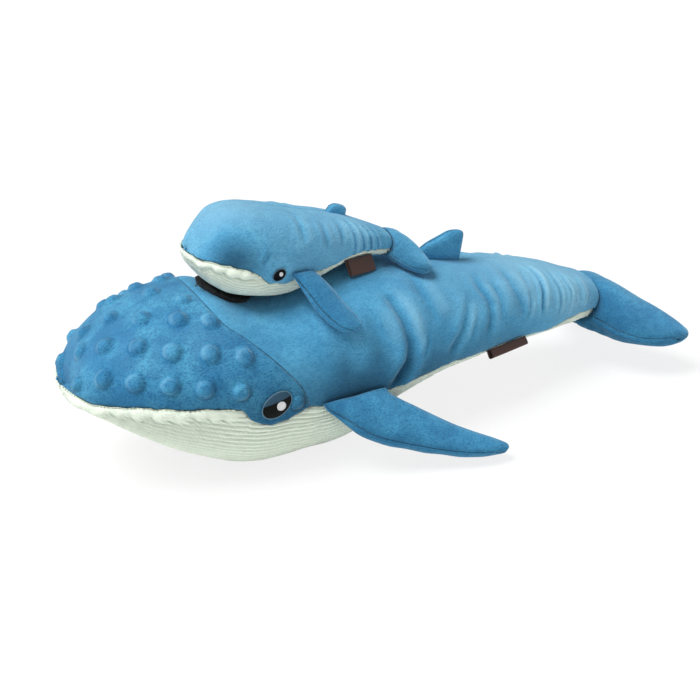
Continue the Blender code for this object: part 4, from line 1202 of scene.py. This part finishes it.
def makeFlukes(body):
    label, (pivotX, pivotZ) = body["name"], body["tailPivot"]
    shape, rider = flukes[label], f"{label}_flukes"
    isMother, radius, lip = body is motherBody, body["tailRadius"] + 0.0004, shape["lip"]
    rows = limbShapes["fluke"]["rows" if isMother else "calfRows"]
    startX, startZ = shape["place"]
    for sign, word in ((1.0, "top"), (-1.0, "bottom")):
        def placeAt(u, v):
            across = (u - 0.5) * 2.0
            along = 1.0 - (1.0 - abs(across)) ** 1.3
            *outline, fall = readRows(rows, along)
            crest = limbShapes["flukeCrest"] + (0.5 - limbShapes["flukeCrest"]) * along
            rimShare = 0.35 + 0.65 * easeBetween(along, 0.20, 0.55)
            x, level = limbCut(shape, shape["length"], outline, tipOf(along, 0.93), rimShare, v, sign > 0, crest)
            y = math.copysign(along, across) * shape["halfSpan"]
            return Vector((startX + x, y, startZ - fall * shape["droop"] + level))

        def reliefAt(u, v, point, gaps):
            away = max(math.hypot(point.x - pivotX, point.z - pivotZ) - radius, 0.0)
            root = hump(away, lip * 1.6) if sign > 0 else 0.0
            pull = 0.0009 * noise.noise(Vector((point.x * 38.0, point.y * 30.0, 5.0 + sign)))
            pull += 0.0008 * math.sin(point.y * 700.0) * easeBetween(away, 0.001, 0.006) * math.exp(-away / 0.008)
            pull *= shape["halfSpan"] / 0.078
            height, shade = limbSeams(point, gaps, lip)
            # painted shade along the front seam, and a painted highlight farther back on the fluke
            paintedShading = 0.64 * hump(gaps[2], shape["length"] * 0.44, 1.8) - 0.18
            height += pull * easeBetween(min(gaps[2], gaps[3]), 0.0, 0.008) - lip * 0.5 * root
            # painted highlights on the wrinkles' ridges, painted shade in their hollows
            return height, max(shade, shape["rootShade"] * root, paintedShading) - pull * 60.0

        form = shapedGrid(shape["cells"], placeAt, reliefAt, facing(sign))
        for vert in form.verts:  # the root is hollow where it turns on the round tail
            fall = clamp((vert.co.z - pivotZ) / radius, -1.0, 1.0)
            vert.co.x = max(vert.co.x, pivotX + radius * math.sqrt(1.0 - fall * fall))
        nodes = [f"{rider}_{word}"] + ([f"{rider}_filling"] if sign > 0 else [])
        finish, name = "limb" if isMother else "blue", f"{label}Flukes{word.capitalize()}"
        asPiece(name, form, finish, rider, nodes, body["place"], sewing["wall"])


print("Fins and flukes")
for make in (makeFin, makeFlukes):
    make(motherBody)
    make(calfBody)


# Hook-and-loop patches

patches = {
    "edge": 0.12,  # the share of a patch's rows on its upright edge
    "mother": {"x": -0.0385, "radius": (0.019, 0.0242), "rise": 0.0027, "cells": (36, 160)},
    "calf": {"x": 0.03499, "radius": (0.0185, 0.0215), "rise": 0.0019, "cells": (24, 96)},
}


def makePatch(body, kind):
    label, under = body["name"], kind == "Hook"
    shape, sign = patches[label], -1.0 if under else 1.0
    rise, edge = shape["rise"], patches["edge"]

    def frayAt(turn, size, layer):
        return noise.noise(Vector((math.cos(turn) * size, math.sin(turn) * size, layer)))

    def placeAt(u, v):
        turn = math.tau * v
        fray = 1.0 + 0.012 * frayAt(turn, 9.0, 1.0 + sign) + 0.016 * frayAt(turn, 31.0, 2.0)
        if u < edge:
            share, lift = 1.0 - 0.02 * (edge - u) / edge, 0.0002 + (rise - 0.0004) * u / edge
        else:
            share = 1.0 - (u - edge) / (1.0 - edge)
            lift = rise - 0.0004 * math.exp(-(1.0 - share) * 40.0)
        if not under:  # the free front of the loop mat stands up
            front = easeBetween(-math.cos(turn), 0.0, 0.7)
            lift += 0.0006 * front * easeBetween(share, 0.86, 0.95) * easeBetween(u, 0.0, edge)
        x = shape["x"] + shape["radius"][0] * fray * share * math.cos(turn)
        y = shape["radius"][1] * fray * share * math.sin(turn)
        return Vector((x, y, backLevel(body, x, y, under) + sign * lift))

    def reliefAt(u, v, point, gaps):
        return (0.00030 + 0.00030 * hump(u - edge, 0.10)) * noise.noise(point * 850.0), 0.0

    form = shapedGrid(shape["cells"], placeAt, reliefAt, facing(sign), True)
    node = f"{label}_{kind.lower()}_patch"
    asPiece(f"{label}{kind}Patch", form, "tape", label, [node], body["place"])


def makeFray(number, turn, lean, length):
    # a loose nylon thread at the edge of the mat
    shape = patches["mother"]
    foot = Vector((shape["x"] + shape["radius"][0] * math.cos(turn), shape["radius"][1] * math.sin(turn), 0.0))
    foot.z = backLevel(motherBody, foot.x, foot.y) + shape["rise"] + 0.0010
    out = Vector((math.cos(turn + lean), math.sin(turn + lean), 0.25))

    def placeAt(u, v):
        thick = 0.00048 * (1.0 - 0.5 * u)
        middle = foot + out * (length * (u - 0.15)) + Vector((0.0, 0.0, 0.0016 * math.sin(u * 4.0)))
        return middle + Vector((0.0, math.cos(math.tau * v), math.sin(math.tau * v))) * thick

    form = shapedGrid((10, 6), placeAt, plain, lambda point: point - foot, True)
    bmesh.ops.recalc_face_normals(form, faces=form.faces)
    asPiece(f"motherLoopThread{number}", form, "tape", "mother")


print("Patches")
makePatch(motherBody, "Loop")
makePatch(calfBody, "Hook")
looseThreads = [(3.35, 0.5, 0.0095), (3.50, -0.2, 0.0075), (3.95, 0.3, 0.0040), (4.25, -0.4, 0.0036)]
for number, (turn, lean, length) in enumerate(looseThreads):
    makeFray(number, turn, lean, length)


# Embroidered eyes

eyes = {
    "mother": {
        "x": -0.0326, "z": 0.0625, "long": 0.0119, "short": 0.0086, "tilt": 31, "dome": 0.0016, "ring": 0.0005,
        "glint": (0.0019, -0.0017, 0.003, 0.0031), "lid": 0.36, "lidSlope": -0.33,
    },
    "calf": {
        "x": 0.05694, "z": 0.01931, "long": 0.0053, "short": 0.0043, "tilt": 31, "dome": 0.001, "ring": 0.00035,
        "glint": (0.0011, 0.0004, 0.0012, 0.0014), "lid": None,
    },
}


def onCheek(body, side, x, z, lift):
    step = 0.0008
    slopeX = (sideDepth(body, x + step, z) - sideDepth(body, x - step, z)) / (2 * step)
    slopeZ = (sideDepth(body, x, z + step) - sideDepth(body, x, z - step)) / (2 * step)
    point = Vector((x, sideDepth(body, x, z), z)) + Vector((-slopeX, 1.0, -slopeZ)).normalized() * lift
    return Vector((point.x, point.y * side, point.z))


def makeEye(body, side, word):
    label = body["name"]
    eye, tilt = eyes[label], math.radians(eyes[label]["tilt"])
    long, short, ring, glint = eye["long"], eye["short"], eye["ring"], eye["glint"]

    def onEye(across, up, lift):
        x = eye["x"] + across * math.cos(tilt) - up * math.sin(tilt)
        z = eye["z"] + across * math.sin(tilt) + up * math.cos(tilt)
        return onCheek(body, side, x, z, lift)

    def domeLift(across, up):
        share = math.sqrt((across / long) ** 2 + (up / short) ** 2)
        return 0.0004 + eye["dome"] * math.sqrt(max(1.0 - share * share * 0.92, 0.0))

    def sewOn(name, cells, placeAt, finish, nodes=(), wrapped=True, tube=False):
        form = shapedGrid(cells, placeAt, plain, lambda point: Vector((0.0, side, 0.0)), wrapped)
        if tube:
            bmesh.ops.recalc_face_normals(form, faces=form.faces)
        asPiece(f"{label}Eye{word}{name}", form, finish, label, nodes, body["place"])

    def sewDisc(name, cells, centreAcross, centreUp, reachAcross, reachUp, finish, liftAt, nodes=()):
        def discAt(u, v):
            turn, share = math.tau * v, 1.0 - u
            across = centreAcross + reachAcross * share * math.cos(turn)
            up = centreUp + reachUp * share * math.sin(turn)
            return onEye(across, up, liftAt(u, domeLift(across, up)))
        sewOn(name, cells, discAt, finish, nodes)

    def sewTube(name, cells, centreAcross, centreUp, reachAcross, reachUp, finish, liftAt, thick):
        def tubeAt(u, v):
            turn, around = math.tau * u, math.tau * v
            grow = thick * math.cos(around)
            across = centreAcross + (reachAcross + grow) * math.cos(turn)
            up = centreUp + (reachUp + grow) * math.sin(turn)
            return onEye(across, up, liftAt(domeLift(across, up)) + thick * 0.8 * math.sin(around))
        sewOn(name, cells, tubeAt, finish, tube=True)

    node = f"{label}_eye_{word.lower()}"
    sewDisc("", (14, 56), 0.0, 0.0, long, short, "black", lambda u, dome: dome if u > 0 else -0.0004, [node])
    sewTube("Ring", (72, 8), 0.0, 0.0, long, short, "ring", lambda dome: 0.0006, ring)
    shine = "pearl" if eye["lid"] else "white"
    sewDisc("Glint", (6, 32), *glint, shine, lambda u, dome: dome + (0.0004 if u > 0 else -0.0002))
    sewTube("GlintRing", (40, 8), *glint, "white", lambda dome: dome + 0.0003, ring * 0.8)
    if eye["lid"] is None:
        return

    def lidAt(u, v):
        # from the brow's edge down to a slightly curved lower edge
        across = long * 0.985 * (v * 2.0 - 1.0)
        brow = short * 0.985 * math.sqrt(max(1.0 - (across / long) ** 2, 0.0))
        edge = clamp(eye["lid"] * short + eye["lidSlope"] * across, -brow, brow)
        up = brow + (edge - brow) * u
        inside = min(u, 1.0 - u, v, 1.0 - v)
        return onEye(across, up, domeLift(across, up) + 0.0004 * easeBetween(inside, 0.0, 0.12))

    sewOn("Lid", (14, 40), lidAt, "lid", wrapped=False)


print("Eyes")
for side, word in bothSides:
    makeEye(motherBody, side, word)
    makeEye(calfBody, side, word)


# Folded ribbon labels, bare on both sides

labels = {
    "mother": {
        "size": (0.041, 0.0068), "origin": (0.15818, -0.05651, 0.05273), "run": (0.9704, 0.2414, 0),
        "out": (0.1252, -0.5032, -0.8551), "wall": 0.00055, "puff": 0.0024,
    },
    "calf": {
        "size": (0.0255, 0.0125), "origin": (0.04913, -0.02498, 0.13589), "run": (0.9497, 0.3059, -0.0664),
        "out": (0.0961, -0.4868, -0.8682), "wall": 0.0005, "puff": 0.0009,
    },
}


def makeLabel(label):
    shape = labels[label]
    origin, run, out = (Vector(shape[key]) for key in ("origin", "run", "out"))
    run.normalize()
    out.normalize()
    up = run.cross(out).normalized()
    if up.z < 0:
        up = -up
    length, depth = shape["size"]

    def placeAt(u, v):
        # v runs from the seam down the back, round the fold and up the front
        bend = v * 2.0 - 1.0
        fold = 1.0 - abs(bend)
        reach = depth * (1.0 - abs(bend) ** 2.4)
        gape = math.sqrt(max(1.0 - fold ** 2, 0.0)) * (1.0 - 0.55 * abs(bend))
        lift = shape["puff"] * math.copysign(gape, bend) + 0.0010 * math.sin(u * 3.0) * reach / depth
        return origin + run * (length * u + 0.0009 * math.sin(bend * 2.0)) + out * (reach - 0.0012) + up * lift

    def reliefAt(u, v, point, gaps):
        # painted shade at both ends of the folded ribbon
        return 0.0, 0.5 * (1.0 - easeBetween(min(gaps[0], gaps[1]), 0.0, 0.0008))

    middle = origin + run * length / 2 + out * depth * 0.3
    form = shapedGrid((30, 36), placeAt, reliefAt, lambda point: point - middle)
    layer = form.loops.layers.uv.new("weave")
    for face in form.faces:
        for loop in face.loops:
            gap = loop.vert.co - origin
            loop[layer].uv = (gap.dot(run), gap.dot(out) + gap.dot(up))
    node = f"{label}_label"
    piece = asPiece(f"{label}Label", form, "ribbon", node, [node])
    thicken(piece, "ribbonThickness", shape["wall"], 0.0)


print("Labels")
makeLabel("mother")
makeLabel("calf")


# Floor, lights and camera

print("Stage")
studio = {
    "floorColour": "#F4F4F4", "floorGlow": 0.82, "floorShade": 0.185, "worldGlow": 0.34,
    "sun": {"from": (-0.48, 0.08, 0.87), "spread": 32, "strength": 3.35},
    "lampAim": (0.08, 0, 0.06),
    "lamps": [  # place, size, power
        ((-0.8, -1.4, 0.24), 0.9, 2),
        ((1.2, -0.9, 0.6), 1, 0.8),
    ],
}
view = {
    "target": (0.065, 0, 0.0695), "yaw": -27, "rise": 24, "distance": 0.9, "lens": 59.14, "lift": -22 / 700,
}


def addHolder(name, data, place, toward):
    # toward is where a light or the camera looks
    holder = addObject(name, data)
    holder.location = place
    holder.rotation_euler = toward.to_track_quat("-Z", "Y").to_euler()
    return holder


floorForm = bmesh.new()
bmesh.ops.create_grid(floorForm, x_segments=2, y_segments=2, size=6.0)
floor = addObject("studioFloor", floorForm)
floorFinish, tree = newFinish("paintedStudioFloor")  # matt white paint, which takes a soft shadow
paint = addNode(tree, "BsdfPrincipled", {
    "Base Color": studio["floorColour"], "Roughness": 1.0, "Specular IOR Level": 0.0,
})
lit = 1.0 - studio["floorShade"]
glow = addNode(tree, "Emission", {"Strength": studio["floorGlow"] / lit})
path = addNode(tree, "LightPath")
seen = maths(tree, "MAXIMUM", path.outputs["Is Camera Ray"], path.outputs["Is Glossy Ray"])
both = addNode(tree, "MixShader", {0: maths(tree, "MULTIPLY", seen, lit), 1: paint.outputs[0], 2: glow.outputs[0]})
addNode(tree, "OutputMaterial", {"Surface": both.outputs[0]})
floor.data.materials.append(floorFinish)

world = bpy.data.worlds.new("studioLight")
scene.world = world
world.use_nodes = True
sky = world.node_tree
sky.nodes.clear()
skySeen = addNode(sky, "LightPath").outputs["Is Camera Ray"]
skyPower = addNode(sky, "MapRange", {0: skySeen, 3: studio["worldGlow"], 4: 1.0})
skyLight = addNode(sky, "Background", {"Strength": skyPower.outputs[0], "Color": "#FFFFFF"})
addNode(sky, "OutputWorld", {"Surface": skyLight.outputs[0]})

sun = bpy.data.lights.new("overcastSun", "SUN")
sun.energy, sun.angle = studio["sun"]["strength"], math.radians(studio["sun"]["spread"])
addHolder("overcastSun", sun, (0, 0, 0), -Vector(studio["sun"]["from"]))
for number, (place, size, power) in enumerate(studio["lamps"]):
    lamp = bpy.data.lights.new(f"softbox{number}", "AREA")
    lamp.shape, lamp.size, lamp.energy = "SQUARE", size, power
    addHolder(lamp.name, lamp, place, Vector(studio["lampAim"]) - Vector(place))

yaw, rise = math.radians(view["yaw"]), math.radians(view["rise"])
toward = Vector((math.sin(yaw) * math.cos(rise), -math.cos(yaw) * math.cos(rise), math.sin(rise)))
cameraData = bpy.data.cameras.new("camera")
cameraData.sensor_width, cameraData.clip_start = 36.0, 0.01
cameraData.lens, cameraData.shift_y = view["lens"], view["lift"]
scene.camera = addHolder("camera", cameraData, Vector(view["target"]) + toward * view["distance"], -toward)
scene.view_settings.view_transform = "Standard"
